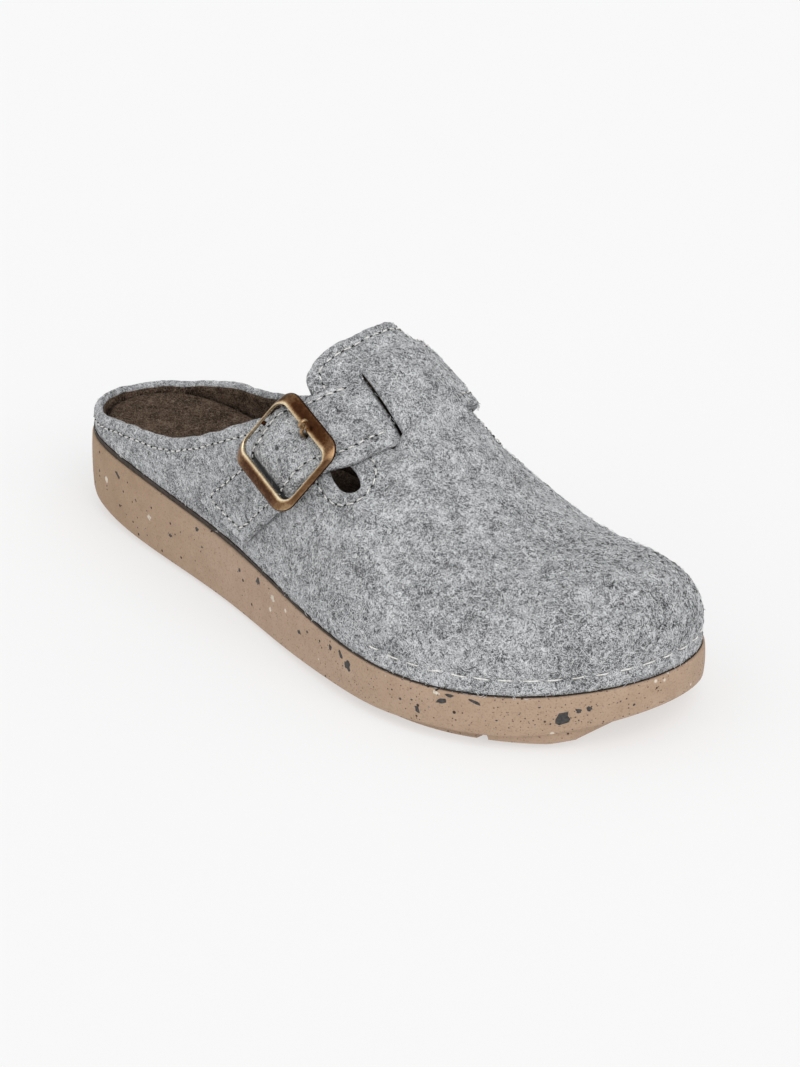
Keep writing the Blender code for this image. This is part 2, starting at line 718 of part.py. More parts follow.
def make_hole_cutter(cutters, frame):
    """Drill for the strap hole that the prong drops into."""
    hole_along = FRAME_HALF_LENGTH - FRONT_BAR + TIP_ROWS[-1].along * MM
    centre = buckle_point(frame, hole_along, PRONG_ACROSS, FRAME_LOW)
    bpy.ops.mesh.primitive_cylinder_add(vertices=16, radius=STRAP_HOLE_RADIUS, depth=4 * STRAP_THICKNESS,
                                        location=centre)
    drill = bpy.context.active_object
    drill.name = "strap_hole_cutter"
    drill.rotation_mode = "QUATERNION"
    drill.rotation_quaternion = Vector(frame.out).to_track_quat("Z", "Y")
    for holder in list(drill.users_collection):
        holder.objects.unlink(drill)
    cutters.objects.link(drill)
    make_cutter(drill)
    return drill


def main():
    for item in list(bpy.data.objects):
        bpy.data.objects.remove(item, do_unlink=True)
    pieces = collection_named(OBJECT_NAME)
    cutters = collection_named("cutters")
    make_sole(pieces)
    make_midsole(pieces)
    make_insole(pieces)
    make_upper(pieces, cutters)
    frame = buckle_frame_axes()
    make_strap(pieces, cutters, frame)
    make_buckle_frame(pieces, cutters, frame)
    make_buckle_prong(pieces, frame)


main()
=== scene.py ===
# %% [markdown]
# # Dressing a felt clog slipper
# The imported model holds plain solids of a right slipper: a moulded sole, a thin dark layer over
# it, an insole, a felt upper, a strap and a buckle. This lesson gives each of them its real skin.
# Felt is the hard one: it has a soft edge, a lumpy nap, a mix of light and dark wool, and loose
# hairs that break its outline. First the frame is loaded and its box is kept, so that the growth
# of the dressed slipper can be printed at the end. First the frame is loaded and its box is kept,
# because nothing that is added may change the size of the slipper.

# %% Load the imported slipper
import math
from collections import namedtuple

import bmesh
import bpy
import numpy as np
from mathutils import Matrix, Quaternion, Vector, kdtree, noise


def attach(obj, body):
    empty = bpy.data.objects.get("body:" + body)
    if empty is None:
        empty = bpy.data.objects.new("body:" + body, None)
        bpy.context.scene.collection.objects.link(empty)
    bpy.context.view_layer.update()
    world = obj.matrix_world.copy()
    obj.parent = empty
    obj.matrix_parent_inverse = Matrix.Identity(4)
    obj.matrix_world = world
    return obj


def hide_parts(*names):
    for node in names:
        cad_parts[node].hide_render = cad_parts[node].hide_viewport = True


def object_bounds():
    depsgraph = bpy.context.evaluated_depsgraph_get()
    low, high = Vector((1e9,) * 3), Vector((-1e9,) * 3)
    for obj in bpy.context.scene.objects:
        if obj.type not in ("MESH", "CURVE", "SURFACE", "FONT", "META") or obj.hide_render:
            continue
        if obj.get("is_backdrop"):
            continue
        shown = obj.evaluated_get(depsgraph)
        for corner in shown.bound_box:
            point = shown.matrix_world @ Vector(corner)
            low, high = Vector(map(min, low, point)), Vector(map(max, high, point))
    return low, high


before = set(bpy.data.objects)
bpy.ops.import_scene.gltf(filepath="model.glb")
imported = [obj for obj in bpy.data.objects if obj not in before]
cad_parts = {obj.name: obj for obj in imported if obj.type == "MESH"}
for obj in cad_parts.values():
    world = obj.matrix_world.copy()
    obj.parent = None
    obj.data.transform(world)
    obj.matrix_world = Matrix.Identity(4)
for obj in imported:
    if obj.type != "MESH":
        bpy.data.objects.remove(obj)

MM = 0.001
cad_low, cad_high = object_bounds()
print("solids in the frame:", ", ".join(sorted(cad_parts)))
print("size in mm:", np.round((np.array(cad_high) - np.array(cad_low)) / MM, 1))

# %% [markdown]
# ## The camera
# The slipper is seen from its front lateral side, a little from above, with a long lens. An
# orbit around a point inside the shoe is easier to reason about than free angles: an azimuth, a
# rise and a distance give the place, and a tracking rotation does the aiming. The small shift
# slides the picture without turning the camera, so upright edges keep their slant.

# %% Camera
TARGET = Vector((0, 2.7 * MM, 30 * MM))
CAMERA_AZIMUTH = math.radians(46.51)
CAMERA_RISE = math.radians(26.11)
CAMERA_ROLL = math.radians(0.33)
CAMERA_DISTANCE = 1.0966
LENS_MM = 114.2
PICTURE_SHIFT = (0.0315, -0.0145)

back = Vector((math.sin(CAMERA_AZIMUTH) * math.cos(CAMERA_RISE),
               -math.cos(CAMERA_AZIMUTH) * math.cos(CAMERA_RISE),
               math.sin(CAMERA_RISE)))
camera_data = bpy.data.cameras.new("portrait_camera")
camera_data.lens = LENS_MM
camera_data.shift_x, camera_data.shift_y = PICTURE_SHIFT
camera = bpy.data.objects.new("portrait_camera", camera_data)
camera.location = TARGET + back * CAMERA_DISTANCE
camera.rotation_mode = "QUATERNION"
camera.rotation_quaternion = (-back).to_track_quat("-Z", "Y") @ Quaternion((0, 0, 1), CAMERA_ROLL)
bpy.context.scene.collection.objects.link(camera)
bpy.context.scene.camera = camera
print("camera at", np.round(camera.location, 3))

# %% [markdown]
# ## Node helpers
# Every finish below is a small graph of shader nodes. One helper adds a node and fills its
# sockets: a plain value is typed in, and a socket of another node is linked. Noise in the
# object's own coordinates is used all through, because it needs no unwrapping and keeps one
# scale over the whole shoe.

# %% Node helpers
def add_node(tree, kind, sockets=None, **settings):
    """Add a shader node; a socket value that is itself a socket gets linked."""
    made = tree.nodes.new(kind)
    for name, value in settings.items():
        setattr(made, name, value)
    for key, value in (sockets or {}).items():
        if isinstance(value, bpy.types.NodeSocket):
            tree.links.new(value, made.inputs[key])
        else:
            made.inputs[key].default_value = value
    return made


def new_finish(name, roughness, metallic=0.0):
    """Material with its Principled shader and a socket of object coordinates in metres."""
    material = bpy.data.materials.new(name)
    material.use_nodes = True
    tree = material.node_tree
    shader = tree.nodes["Principled BSDF"]
    shader.inputs["Roughness"].default_value = roughness
    shader.inputs["Metallic"].default_value = metallic
    place = add_node(tree, "ShaderNodeTexCoord").outputs["Object"]
    return material, tree, shader, place


def noise_value(tree, place, size_mm, detail=2.0, rough=0.55, twist=0.0):
    """Noise whose blobs are about this many millimetres across, as a value near one half."""
    sockets = {"Vector": place, "Scale": 1 / (size_mm * MM), "Detail": detail, "Roughness": rough,
               "Distortion": twist}
    return add_node(tree, "ShaderNodeTexNoise", sockets).outputs["Fac"]


def arithmetic(tree, operation, first, second=0.0):
    return add_node(tree, "ShaderNodeMath", {0: first, 1: second}, operation=operation).outputs[0]


def remap(tree, value, from_low, from_high, to_low=0.0, to_high=1.0):
    sockets = {"Value": value, "From Min": from_low, "From Max": from_high, "To Min": to_low,
               "To Max": to_high}
    return add_node(tree, "ShaderNodeMapRange", sockets).outputs["Result"]


def ramp(tree, value, stops):
    """Colour ramp from (position, colour) stops."""
    made = add_node(tree, "ShaderNodeValToRGB", {"Fac": value})
    elements = made.color_ramp.elements
    while len(elements) < len(stops):
        elements.new(0.5)
    for element, (position, colour) in zip(elements, stops):
        element.position = position
        element.color = (*colour, 1)
    return made.outputs["Color"]


def mix_colour(tree, share, first, second):
    """Blend two colours, each a socket or three numbers, by a share."""
    made = add_node(tree, "ShaderNodeMix", data_type="RGBA")
    for key, value in ((0, share), (6, first), (7, second)):
        if isinstance(value, bpy.types.NodeSocket):
            tree.links.new(value, made.inputs[key])
        else:
            made.inputs[key].default_value = value if key == 0 else (*value, 1)
    return made.outputs[2]


def add_bump(tree, shader, height, depth_mm):
    sockets = {"Height": height, "Distance": depth_mm * MM, "Strength": 1.0}
    made = add_node(tree, "ShaderNodeBump", sockets)
    tree.links.new(made.outputs["Normal"], shader.inputs["Normal"])


print("node helpers ready")

# %% [markdown]
# ## Floor and light
# The shoe stands on a light table, a pale floor that glows from below, as used for catalogue
# pictures: it hardly shows a shadow. A soft sky that is brighter overhead does most of the work,
# and gives the metal something to reflect; a broad light over the toe makes a light side and a
# weaker one at the heel keeps the lateral wall readable. Both are distant lights with a very
# wide disc: unlike a near softbox they do not fall off, which keeps the floor one even tone. The
# floor is only a stage, so it is marked as one and left out when the slipper's size is taken.

# %% Floor and light
FLOOR_SIZE = 60.0
FLOOR_TONE = 0.42
FLOOR_GLOW = 0.53
SKY_HORIZON = 0.45
SKY_ZENITH = 0.74
Softbox = namedtuple("Softbox", "place spread power")
SOFTBOXES = {
    "toe_light": Softbox((1.25, -0.4, 1.2), 60, 1.3),
    "heel_light": Softbox((-0.9, -1.5, 1.0), 80, 0.46),
}

bpy.ops.mesh.primitive_plane_add(size=FLOOR_SIZE)
floor = bpy.context.active_object
floor.name = "pale_floor"
floor_finish, tree, shader, place = new_finish("pale_floor", 0.9)
grain = noise_value(tree, place, 40.0)
tree.links.new(ramp(tree, grain, ((0.3, [FLOOR_TONE * 0.995] * 3), (0.7, [FLOOR_TONE] * 3))),
               shader.inputs["Base Color"])
shader.inputs["Specular IOR Level"].default_value = 0.0
shader.inputs["Emission Color"].default_value = (1, 1, 1, 1)
shader.inputs["Emission Strength"].default_value = FLOOR_GLOW
floor.data.materials.append(floor_finish)
floor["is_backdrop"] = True

sky = bpy.data.worlds.new("studio_sky")
sky.use_nodes = True
direction = add_node(sky.node_tree, "ShaderNodeTexCoord").outputs["Generated"]
rise = add_node(sky.node_tree, "ShaderNodeSeparateXYZ", {"Vector": direction}).outputs["Z"]
tone = ramp(sky.node_tree, rise, ((0.0, [SKY_HORIZON] * 3), (1.0, [SKY_ZENITH] * 3)))
sky.node_tree.links.new(tone, sky.node_tree.nodes["Background"].inputs["Color"])
bpy.context.scene.world = sky
bpy.context.scene.view_settings.view_transform = "Standard"

for name, softbox in SOFTBOXES.items():
    light = bpy.data.lights.new(name, "SUN")
    light.angle = math.radians(softbox.spread)
    light.energy = softbox.power
    lamp = bpy.data.objects.new(name, light)
    lamp.location = softbox.place
    lamp.rotation_euler = (TARGET - lamp.location).to_track_quat("-Z", "Y").to_euler()
    bpy.context.scene.collection.objects.link(lamp)
print("lights:", ", ".join(SOFTBOXES))

# %% [markdown]
# ## The last, as short tables
# A shoe is built on a last, and here the last is a handful of tables: sections of the sole from
# heel to toe, the ridge over the instep, and how square each cross section is. They are the
# tables of the solids, in millimetres, so that the finished skin fits them. Sampling a formula
# finely is better here than subdividing the coarse solids, which would round off their cut edges.

# %% Tables of the last
LENGTH = 255 * MM
FELT_WALL = 3.6 * MM
STRAP_THICKNESS = 3.2 * MM
GAP = 0.3 * MM

SoleRow = namedtuple("SoleRow", "station centre_y half_width top_z edge_z edge_radius")
SOLE_ROWS = (
    SoleRow(0.000, 2.70, 0.00, 27.2, 4.6, 4.6),
    SoleRow(0.055, 4.45, 22.75, 26.9, 3.2, 3.8),
    SoleRow(0.150, 4.00, 28.90, 26.0, 1.9, 1.9),
    SoleRow(0.270, 1.70, 30.60, 24.2, 1.4, 1.2),
    SoleRow(0.400, -0.40, 33.10, 22.0, 1.1, 0.9),
    SoleRow(0.530, -1.60, 39.80, 20.0, 1.7, 1.1),
    SoleRow(0.650, -1.15, 46.85, 18.4, 3.2, 1.4),
    SoleRow(0.740, 0.00, 49.20, 17.5, 3.6, 1.2),
    SoleRow(0.830, 2.60, 46.30, 17.4, 4.4, 1.0),
    SoleRow(0.910, 6.20, 37.80, 18.6, 5.4, 1.0),
    SoleRow(0.970, 9.30, 23.60, 20.6, 9.0, 1.0),
    SoleRow(1.000, 10.20, 0.00, 22.0, 11.5, 1.0),
)
RidgeRow = namedtuple("RidgeRow", "along y z")
RIDGE_ROWS = (
    RidgeRow(0.20, 4.7, 110.0),
    RidgeRow(0.35, 5.7, 106.0),
    RidgeRow(0.45, 6.7, 97.6),
    RidgeRow(0.55, 6.7, 84.2),
    RidgeRow(0.65, 5.7, 69.3),
    RidgeRow(0.75, 5.7, 55.8),
    RidgeRow(0.85, 7.2, 50.5),
    RidgeRow(0.93, 9.2, 49.7),
    RidgeRow(1.00, 10.2, 46.3),
)
RIDGE_START = 0.20
RIDGE_END = 0.86
FEATHER = 0.8 * MM
LAYER_HEEL = 2.4 * MM
LAYER_TOE = 1.6 * MM
FullnessRow = namedtuple("FullnessRow", "station lateral medial")
FULLNESS_ROWS = (
    FullnessRow(0.00, 2.60, 2.60),
    FullnessRow(0.30, 2.20, 2.20),
    FullnessRow(0.45, 1.95, 2.30),
    FullnessRow(0.60, 2.05, 1.86),
    FullnessRow(0.75, 2.25, 1.84),
    FullnessRow(0.90, 2.65, 2.32),
    FullnessRow(1.00, 3.50, 3.50),
)
print(len(SOLE_ROWS), "sole sections,", len(RIDGE_ROWS), "and", len(FULLNESS_ROWS), "rows for the upper")

# %% [markdown]
# ## Smooth curves through the tables
# A few rows are enough for a whole shoe if a smooth curve runs through each column. A natural
# cubic spline passes through every value and bends as little as it can in between. One small
# system of equations gives its bends, and it can then be read at as many places as we like.

# %% Smooth curves
def smooth_curve(knots, values):
    """Natural cubic spline through the values at the knots, as a function."""
    knots = np.asarray(knots, float)
    values = np.asarray(values, float)
    steps = np.diff(knots)
    system = np.eye(len(knots))
    right = np.zeros(len(knots))
    for i in range(1, len(knots) - 1):
        system[i, i - 1:i + 2] = steps[i - 1], 2 * (steps[i - 1] + steps[i]), steps[i]
        rise_after = (values[i + 1] - values[i]) / steps[i]
        rise_before = (values[i] - values[i - 1]) / steps[i - 1]
        right[i] = 6 * (rise_after - rise_before)
    bends = np.linalg.solve(system, right)

    def value_at(place):
        place = np.asarray(place, float)
        i = np.clip(np.searchsorted(knots, place) - 1, 0, len(knots) - 2)
        before = (knots[i + 1] - place) / steps[i]
        after = (place - knots[i]) / steps[i]
        bow = (before ** 3 - before) * bends[i] + (after ** 3 - after) * bends[i + 1]
        return before * values[i] + after * values[i + 1] + bow * steps[i] ** 2 / 6

    return value_at


def column(rows, name):
    return np.array([getattr(row, name) for row in rows])


def curve_of(rows, key, name, unit=MM):
    return smooth_curve(column(rows, key), column(rows, name) * unit)


ridge_z = curve_of(RIDGE_ROWS, "along", "z")
print("ridge half way along in mm:", round(float(ridge_z(0.5)) / MM, 1))

# %% [markdown]
# ## The outline of the sole
# A station is the share of the length from heel to toe. Seen from above, the sole's ends are
# round, so its outline is splined against an angle instead of the station: that keeps heel and
# toe blunt where a plain spline would come to a point. Everything that follows the sole's edge is
# this outline, moved inwards a little, square to the edge.

# %% Outline of the sole
def angle_of(station):
    return np.arccos(1 - 2 * np.clip(station, 0, 1))


def station_at(angle):
    return (1 - np.cos(angle)) / 2


def stations_between(start, end, count):
    return station_at(np.linspace(angle_of(start), angle_of(end), count))


SOLE_STATIONS = column(SOLE_ROWS, "station")
centre_by_angle = smooth_curve(angle_of(SOLE_STATIONS), column(SOLE_ROWS, "centre_y") * MM)
half_by_angle = smooth_curve(angle_of(SOLE_STATIONS), column(SOLE_ROWS, "half_width") * MM)
sole_top = curve_of(SOLE_ROWS, "station", "top_z")
sole_edge = curve_of(SOLE_ROWS, "station", "edge_z")
edge_radius = curve_of(SOLE_ROWS, "station", "edge_radius")


def unit(vectors):
    return vectors / np.linalg.norm(vectors, axis=-1, keepdims=True)


def outline_at(side, angle):
    x = LENGTH * (station_at(angle) - 0.5)
    y = centre_by_angle(angle) + side * half_by_angle(angle)
    return np.stack([x, y], -1)


def inset_outline(side, station, inset):
    """Plan of the sole moved inwards, square to its edge; side is -1 lateral or +1 medial."""
    angle = angle_of(station)
    step = 1e-5
    before = outline_at(side, np.clip(angle - step, 0, math.pi))
    after = outline_at(side, np.clip(angle + step, 0, math.pi))
    along = unit(after - before)
    side = np.asarray(side, float)[..., None]
    inward = np.stack([along[..., 1], -along[..., 0]], -1) * side
    return outline_at(side[..., 0], angle) + inward * np.asarray(inset)[..., None]


def layer_height(station):
    return LAYER_HEEL + (LAYER_TOE - LAYER_HEEL) * station


def foot_height(station):
    return sole_top(station) + layer_height(station)


print("widest place of the sole in mm:", round(2 * float(column(SOLE_ROWS, "half_width").max()), 1))

# %% [markdown]
# ## The surface of the upper
# A girth runs round the upper from -1 at the lateral edge over 0 on the ridge to +1 at the medial
# edge. Each cross section is a superellipse between the sole's edge and the ridge. Its power
# says how square it is, and the two sides may differ, as they do on a foot.

# %% Surface of the upper
ridge_y = curve_of(RIDGE_ROWS, "along", "y")
lateral_fullness = curve_of(FULLNESS_ROWS, "station", "lateral", 1)
medial_fullness = curve_of(FULLNESS_ROWS, "station", "medial", 1)


def upper_point(station, girth):
    """Outside of the felt before the strap lifts it."""
    station, girth = np.broadcast_arrays(np.asarray(station, float), np.asarray(girth, float))
    side = np.where(girth < 0, -1.0, 1.0)
    rise = np.clip(1 - np.abs(girth), 0, 1)
    foot = inset_outline(side, station, FEATHER)
    along = RIDGE_START + (RIDGE_END - RIDGE_START) * station
    crest = np.stack([LENGTH * (along - 0.5), ridge_y(along)], -1)
    power = 2 / np.where(girth < 0, lateral_fullness(station), medial_fullness(station))
    out = np.clip(np.cos(rise * math.pi / 2), 0, 1) ** power
    up = np.sin(rise * math.pi / 2) ** power
    plan = foot * out[..., None] + crest * (1 - out)[..., None]
    z = foot_height(station) * (1 - up) + ridge_z(plan[..., 0] / LENGTH + 0.5) * up
    return np.concatenate([plan, z[..., None]], -1)


def upper_normal(station, girth):
    step = 1e-3
    along = upper_point(station + step, girth) - upper_point(station - step, girth)
    around = upper_point(station, girth + step) - upper_point(station, girth - step)
    return unit(np.cross(along, around))


print("height of the ridge over the ball in mm:", round(float(upper_point(0.7, 0.0)[2]) / MM, 1))

# %% [markdown]
# ## Slits and the lifted felt
# The strap dives through a slit on each side and runs under a bridge of felt. The bridge is
# pushed up like a pillow, most of all at the mouth of the slits, while the taut strap presses the
# felt down just before it dives. A bell-shaped lift along the surface normal gives the pillow, a
# step between bridge and vamp opens the mouths, and a soft dent takes in the strap.

# %% Lifted felt
SLIT_START = 0.487
SLIT_END = 0.640
SLIT_INNER = 0.195
SLIT_OUTER = 0.235
SLIT_LIFT = 2.4 * MM
PILLOW_HEIGHT = 4.2 * MM
PILLOW_STATION = 0.53
PILLOW_REACH = 0.13
PILLOW_GIRTH = 0.10
PILLOW_SPREAD = 0.30
PRESS_DEPTH = 2.2 * MM
PRESS_REACH = 0.13
PRESS_SOFT = 0.014
END_MARGIN = 0.01


def smooth_step(value, start, end):
    share = np.clip((value - start) / (end - start), 0, 1)
    return share * share * (3 - 2 * share)


def strap_press(station, girth):
    """How deep the taut strap dents the felt where it dives into a slit."""
    along = smooth_step(station, SLIT_START - PRESS_SOFT / 2, SLIT_START + PRESS_SOFT)
    along = along * smooth_step(station, SLIT_END + PRESS_SOFT / 2, SLIT_END - PRESS_SOFT)
    around = smooth_step(np.abs(girth), SLIT_INNER, SLIT_OUTER)
    around = around * smooth_step(np.abs(girth), SLIT_OUTER + PRESS_REACH, SLIT_OUTER)
    return PRESS_DEPTH * along * around


def mouth_lift(station):
    """How far the bridge's edge is lifted along a slit."""
    across = (station - (SLIT_START + SLIT_END) / 2) / (SLIT_END - SLIT_START) * 2
    return SLIT_LIFT * np.sqrt(np.clip(1 - across ** 2, 0, None))


def on_bridge(girth):
    return np.abs(girth) < (SLIT_INNER + SLIT_OUTER) / 2


def felt_lift(station, girth):
    along = (station - PILLOW_STATION) / PILLOW_REACH
    around = (girth - PILLOW_GIRTH) / PILLOW_SPREAD
    pillow = PILLOW_HEIGHT * np.exp(-along ** 2 - around ** 2)
    return pillow + np.where(on_bridge(girth), mouth_lift(station), 0) - strap_press(station, girth)


def off_the_ends(station):
    """Station kept a little off heel and toe, where the two sides meet and a normal is unsure."""
    return np.clip(station, END_MARGIN, 1 - END_MARGIN)


def felt_point(station, girth, out=0.0):
    """Outside of the felt, or a place out from it."""
    station, girth = np.broadcast_arrays(np.asarray(station, float), np.asarray(girth, float))
    move = felt_lift(station, girth) + out
    normal = upper_normal(off_the_ends(station), girth)
    return upper_point(station, girth) + normal * np.asarray(move)[..., None]


print("top of the bridge in mm:", np.round(felt_point(0.577, 0.0) / MM, 1))

# %% [markdown]
# ## Making closed pieces
# Each soft piece starts as a sheet of faces with a top and an underside. Closing it is the same
# job every time: keep the sheet, add a reversed copy, and put a wall on every open edge. Doing
# this by hand, not with a Solidify modifier, lets the edge be rounded, because top and underside
# can lean towards each other as they come near a cut.

# %% Closed pieces
def grid_quads(rows, columns, wrap_rows=False, wrap_columns=False):
    """Quads of a grid of points that is stored row by row."""
    row = np.arange(rows if wrap_rows else rows - 1)[:, None]
    place = np.arange(columns if wrap_columns else columns - 1)[None, :]
    next_row = (row + 1) % rows
    next_place = (place + 1) % columns
    corners = (row * columns + place, next_row * columns + place,
               next_row * columns + next_place, row * columns + next_place)
    return np.stack([np.broadcast_to(c, (row.size, place.size)) for c in corners], -1).reshape(-1, 4)


def open_edges(faces):
    """Directed edges that only one face uses."""
    directed = set()
    for face in faces:
        directed.update(zip(face, [*face[1:], face[0]]))
    return [(a, b) for a, b in directed if (b, a) not in directed]


def close_sheet(top, under, faces):
    """Points and faces of the closed body between a sheet and its underside."""
    faces = [[int(corner) for corner in face] for face in faces]
    shift = len(top)
    closed = list(faces)
    closed += [[corner + shift for corner in reversed(face)] for face in faces]
    closed += [[b, a, a + shift, b + shift] for a, b in sorted(open_edges(faces))]
    return np.concatenate([top, under]), closed


def add_piece(name, points, faces, material, slot, replaced=(), sharp_angle=None):
    """Mesh object that rides with the shoe and takes the place of a solid."""
    mesh = bpy.data.meshes.new(name)
    mesh.from_pydata(np.asarray(points).tolist(), [], [list(face) for face in faces])
    mesh.validate()
    mesh.shade_smooth()
    if sharp_angle:
        mesh.set_sharp_from_angle(angle=math.radians(sharp_angle))
    mesh.materials.append(material)
    piece = bpy.data.objects.new(name, mesh)
    bpy.context.scene.collection.objects.link(piece)
    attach(piece, "root")
    if replaced:
        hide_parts(*replaced)
    mesh.calc_loop_triangles()
    print(name, "has", len(mesh.loop_triangles), "triangles")
    return piece


def roll_off(gap, radius):
    """How far a surface drops near a rounded edge, from the distance to that edge."""
    reach = np.clip(1 - gap / radius, 0, 1)
    return radius * (1 - np.sqrt(1 - reach ** 2))


print("open edges of one quad:", len(open_edges(grid_quads(2, 2).tolist())))

# %% [markdown]
# ## Making threads
# Stitches and hairs come by the thousand, and a curve object for each would be slow, so one
# helper builds any number of thin closed threads at once: rings of points along every path, and
# a single point at each end. They all become one mesh, which is one piece.

# %% Threads
def threads(paths, radii, sides):
    """Points and triangles of thin closed threads: paths is count x steps x 3, radii count x steps."""
    count, steps = paths.shape[:2]
    ahead = unit(np.gradient(paths, axis=1)[:, 1:-1])
    helper = np.eye(3)[np.abs(paths[:, -1] - paths[:, 0]).argmin(axis=1)][:, None]
    first = unit(np.cross(ahead, helper))
    second = np.cross(ahead, first)
    turns = np.linspace(0, 2 * math.pi, sides, endpoint=False)[:, None]
    spread = first[:, :, None] * np.cos(turns) + second[:, :, None] * np.sin(turns)
    rings = (paths[:, 1:-1, None] + radii[:, 1:-1, None, None] * spread).reshape(count, -1, 3)
    points = np.concatenate([paths[:, :1], rings, paths[:, -1:]], axis=1)
    here = np.arange(sides) + 1
    there = np.roll(here, -1)
    far = (steps - 3) * sides
    faces = [np.stack([0 * here, there, here], -1),
             np.stack([0 * here + points.shape[1] - 1, far + here, far + there], -1)]
    for ring in range(steps - 3):
        low, high = ring * sides, (ring + 1) * sides
        faces.append(np.stack([here + low, there + low, there + high], -1))
        faces.append(np.stack([here + low, there + high, here + high], -1))
    faces = np.concatenate(faces)
    shifts = np.arange(count)[:, None, None] * points.shape[1]
    return points.reshape(-1, 3), (shifts + faces[None]).reshape(-1, 3).tolist()


def add_threads(name, paths, radii, sides, material, slot):
    """Piece of many threads; radii is one number or one for each step along a path."""
    points, faces = threads(paths, np.broadcast_to(radii, paths.shape[:2]), sides)
    add_piece(name, points, faces, material, slot)


print("helpers for threads ready")

# %% [markdown]
# ## The sections of the sole
# The sole is one moulding: a wall that bulges slightly, soft edges and square tread lugs that are
# set in from the wall. It could be kept as the solid, but its facets would show along the long
# smooth edge, so the same sections are sampled again with real quarter rounds at both edges. Two
# sections close together at each end of a lug make its steep front and back.

# %% Sole sections
Lug = namedtuple("Lug", "start end inset_mm face_mm")
LUGS = (
    Lug(0.040, 0.130, 0.8, 0.0),
    Lug(0.147, 0.248, 0.8, 0.0),
    Lug(0.265, 0.366, 0.8, 0.0),
    Lug(0.383, 0.470, 0.5, 0.4),
    Lug(0.487, 0.566, 0.5, 0.4),
    Lug(0.583, 0.684, 3.0, 0.8),
    Lug(0.702, 0.860, 4.2, 0.0),
    Lug(0.876, 0.956, 0.8, 2.1),
)
LUG_HEIGHT = 4.4 * MM
LUG_DRAFT = 0.4 * MM
LUG_WALL = 0.0016
LUG_ROUND = 0.5 * MM
SOLE_TOP_EDGE = 0.8 * MM
SOLE_BULGE = 0.3 * MM
SOLE_SECTIONS = 150
WALL_STEPS = 9


def lug_at(station):
    for lug in LUGS:
        if lug.start <= station <= lug.end:
            return lug
    return None


def quarter_round(inset, z, radius, first_turn, steps=5):
    """Points of a quarter circle around a centre, as inset and height."""
    turns = np.radians(first_turn + np.linspace(0, 90, steps))
    return [(inset + radius * math.cos(turn), z + radius * math.sin(turn)) for turn in turns]


def wall_inset(share):
    """Inset of the bulging wall at a share of its height from its top; it is less than 0."""
    return -SOLE_BULGE * 4 * share * (1 - share)


def sole_half_section(side, station):
    """Points down one side of the sole, from its top edge to the tread."""
    radius = edge_radius(station)
    top = sole_top(station)
    edge = sole_edge(station)
    lug = lug_at(station)
    tread = max(lug.face_mm * MM, edge - LUG_HEIGHT) if lug else edge
    lug_side = radius + (lug or LUGS[-1]).inset_mm * MM
    corner = min(LUG_ROUND, (edge - tread) / 2)
    profile = quarter_round(SOLE_TOP_EDGE, top - SOLE_TOP_EDGE, SOLE_TOP_EDGE, 90)
    wall_top = top - SOLE_TOP_EDGE
    wall_low = edge + radius
    for share in np.linspace(0, 1, WALL_STEPS)[1:-1]:
        profile.append((wall_inset(share), wall_top + (wall_low - wall_top) * share))
    profile += quarter_round(radius, wall_low, radius, 180)
    profile.append((lug_side, edge))
    profile += quarter_round(lug_side + LUG_DRAFT + corner, tread + corner, corner, 180, steps=4)
    inset, z = np.array(profile).T
    plan = inset_outline(np.full(inset.shape, side), np.full(inset.shape, station), inset)
    return np.column_stack([plan, z])


lug_ends = [(lug.start - LUG_WALL, lug.start, lug.end, lug.end + LUG_WALL) for lug in LUGS]
lug_ends = np.array(lug_ends).ravel()
even = stations_between(0, 1, SOLE_SECTIONS)
apart = np.abs(even[:, None] - lug_ends[None, :]).min(axis=1) > LUG_WALL
sole_stations = np.sort(np.concatenate([even[apart], lug_ends]))
sections = [np.concatenate([sole_half_section(-1.0, station), sole_half_section(1.0, station)[::-1]])
            for station in sole_stations]
sole_points = np.array(sections)
print("sole of", len(sections), "sections, each of", sole_points.shape[1], "points")

# %% [markdown]
# ## Welding a grid into a body
# A grid that closes on itself has points on top of one another, most of all at heel and toe,
# where its sections shrink to nothing. Merging them by distance and turning all faces outwards
# makes one clean closed body. Chips, board, footbed and buckle go through the same helper.

# %% Weld the sole
WELD_DISTANCE = 0.004 * MM


def welded(points, faces, distance=WELD_DISTANCE):
    """Join the points of a grid that closes on itself and turn its faces outwards."""
    work = bmesh.new()
    corners = [work.verts.new(point) for point in points]
    for face in faces:
        work.faces.new([corners[i] for i in face])
    bmesh.ops.remove_doubles(work, verts=work.verts, dist=distance)
    bmesh.ops.dissolve_degenerate(work, edges=work.edges, dist=distance)
    bmesh.ops.recalc_face_normals(work, faces=work.faces)
    if work.calc_volume(signed=True) < 0:
        bmesh.ops.reverse_faces(work, faces=work.faces)
    work.verts.index_update()
    points = np.array([vertex.co for vertex in work.verts])
    faces = [[vertex.index for vertex in face.verts] for face in work.faces]
    work.free()
    return points, faces


sole_faces = grid_quads(*sole_points.shape[:2], wrap_columns=True)
sole_body = welded(sole_points.reshape(-1, 3), sole_faces)
print("sole of", len(sole_body[0]), "points")

# %% [markdown]
# ## The sole's speckle
# The rubber is foamed and matt, with a fine brown grain and ground-up bits mixed in: pinholes by
# the hundred, most of them at the forefoot, a fair number of brown specks and a few pale ones.
# Cells of a Voronoi noise make good specks: the distance to a cell's centre gives round dots, and
# the cell's own random colour decides how large each dot is, or whether there is one.

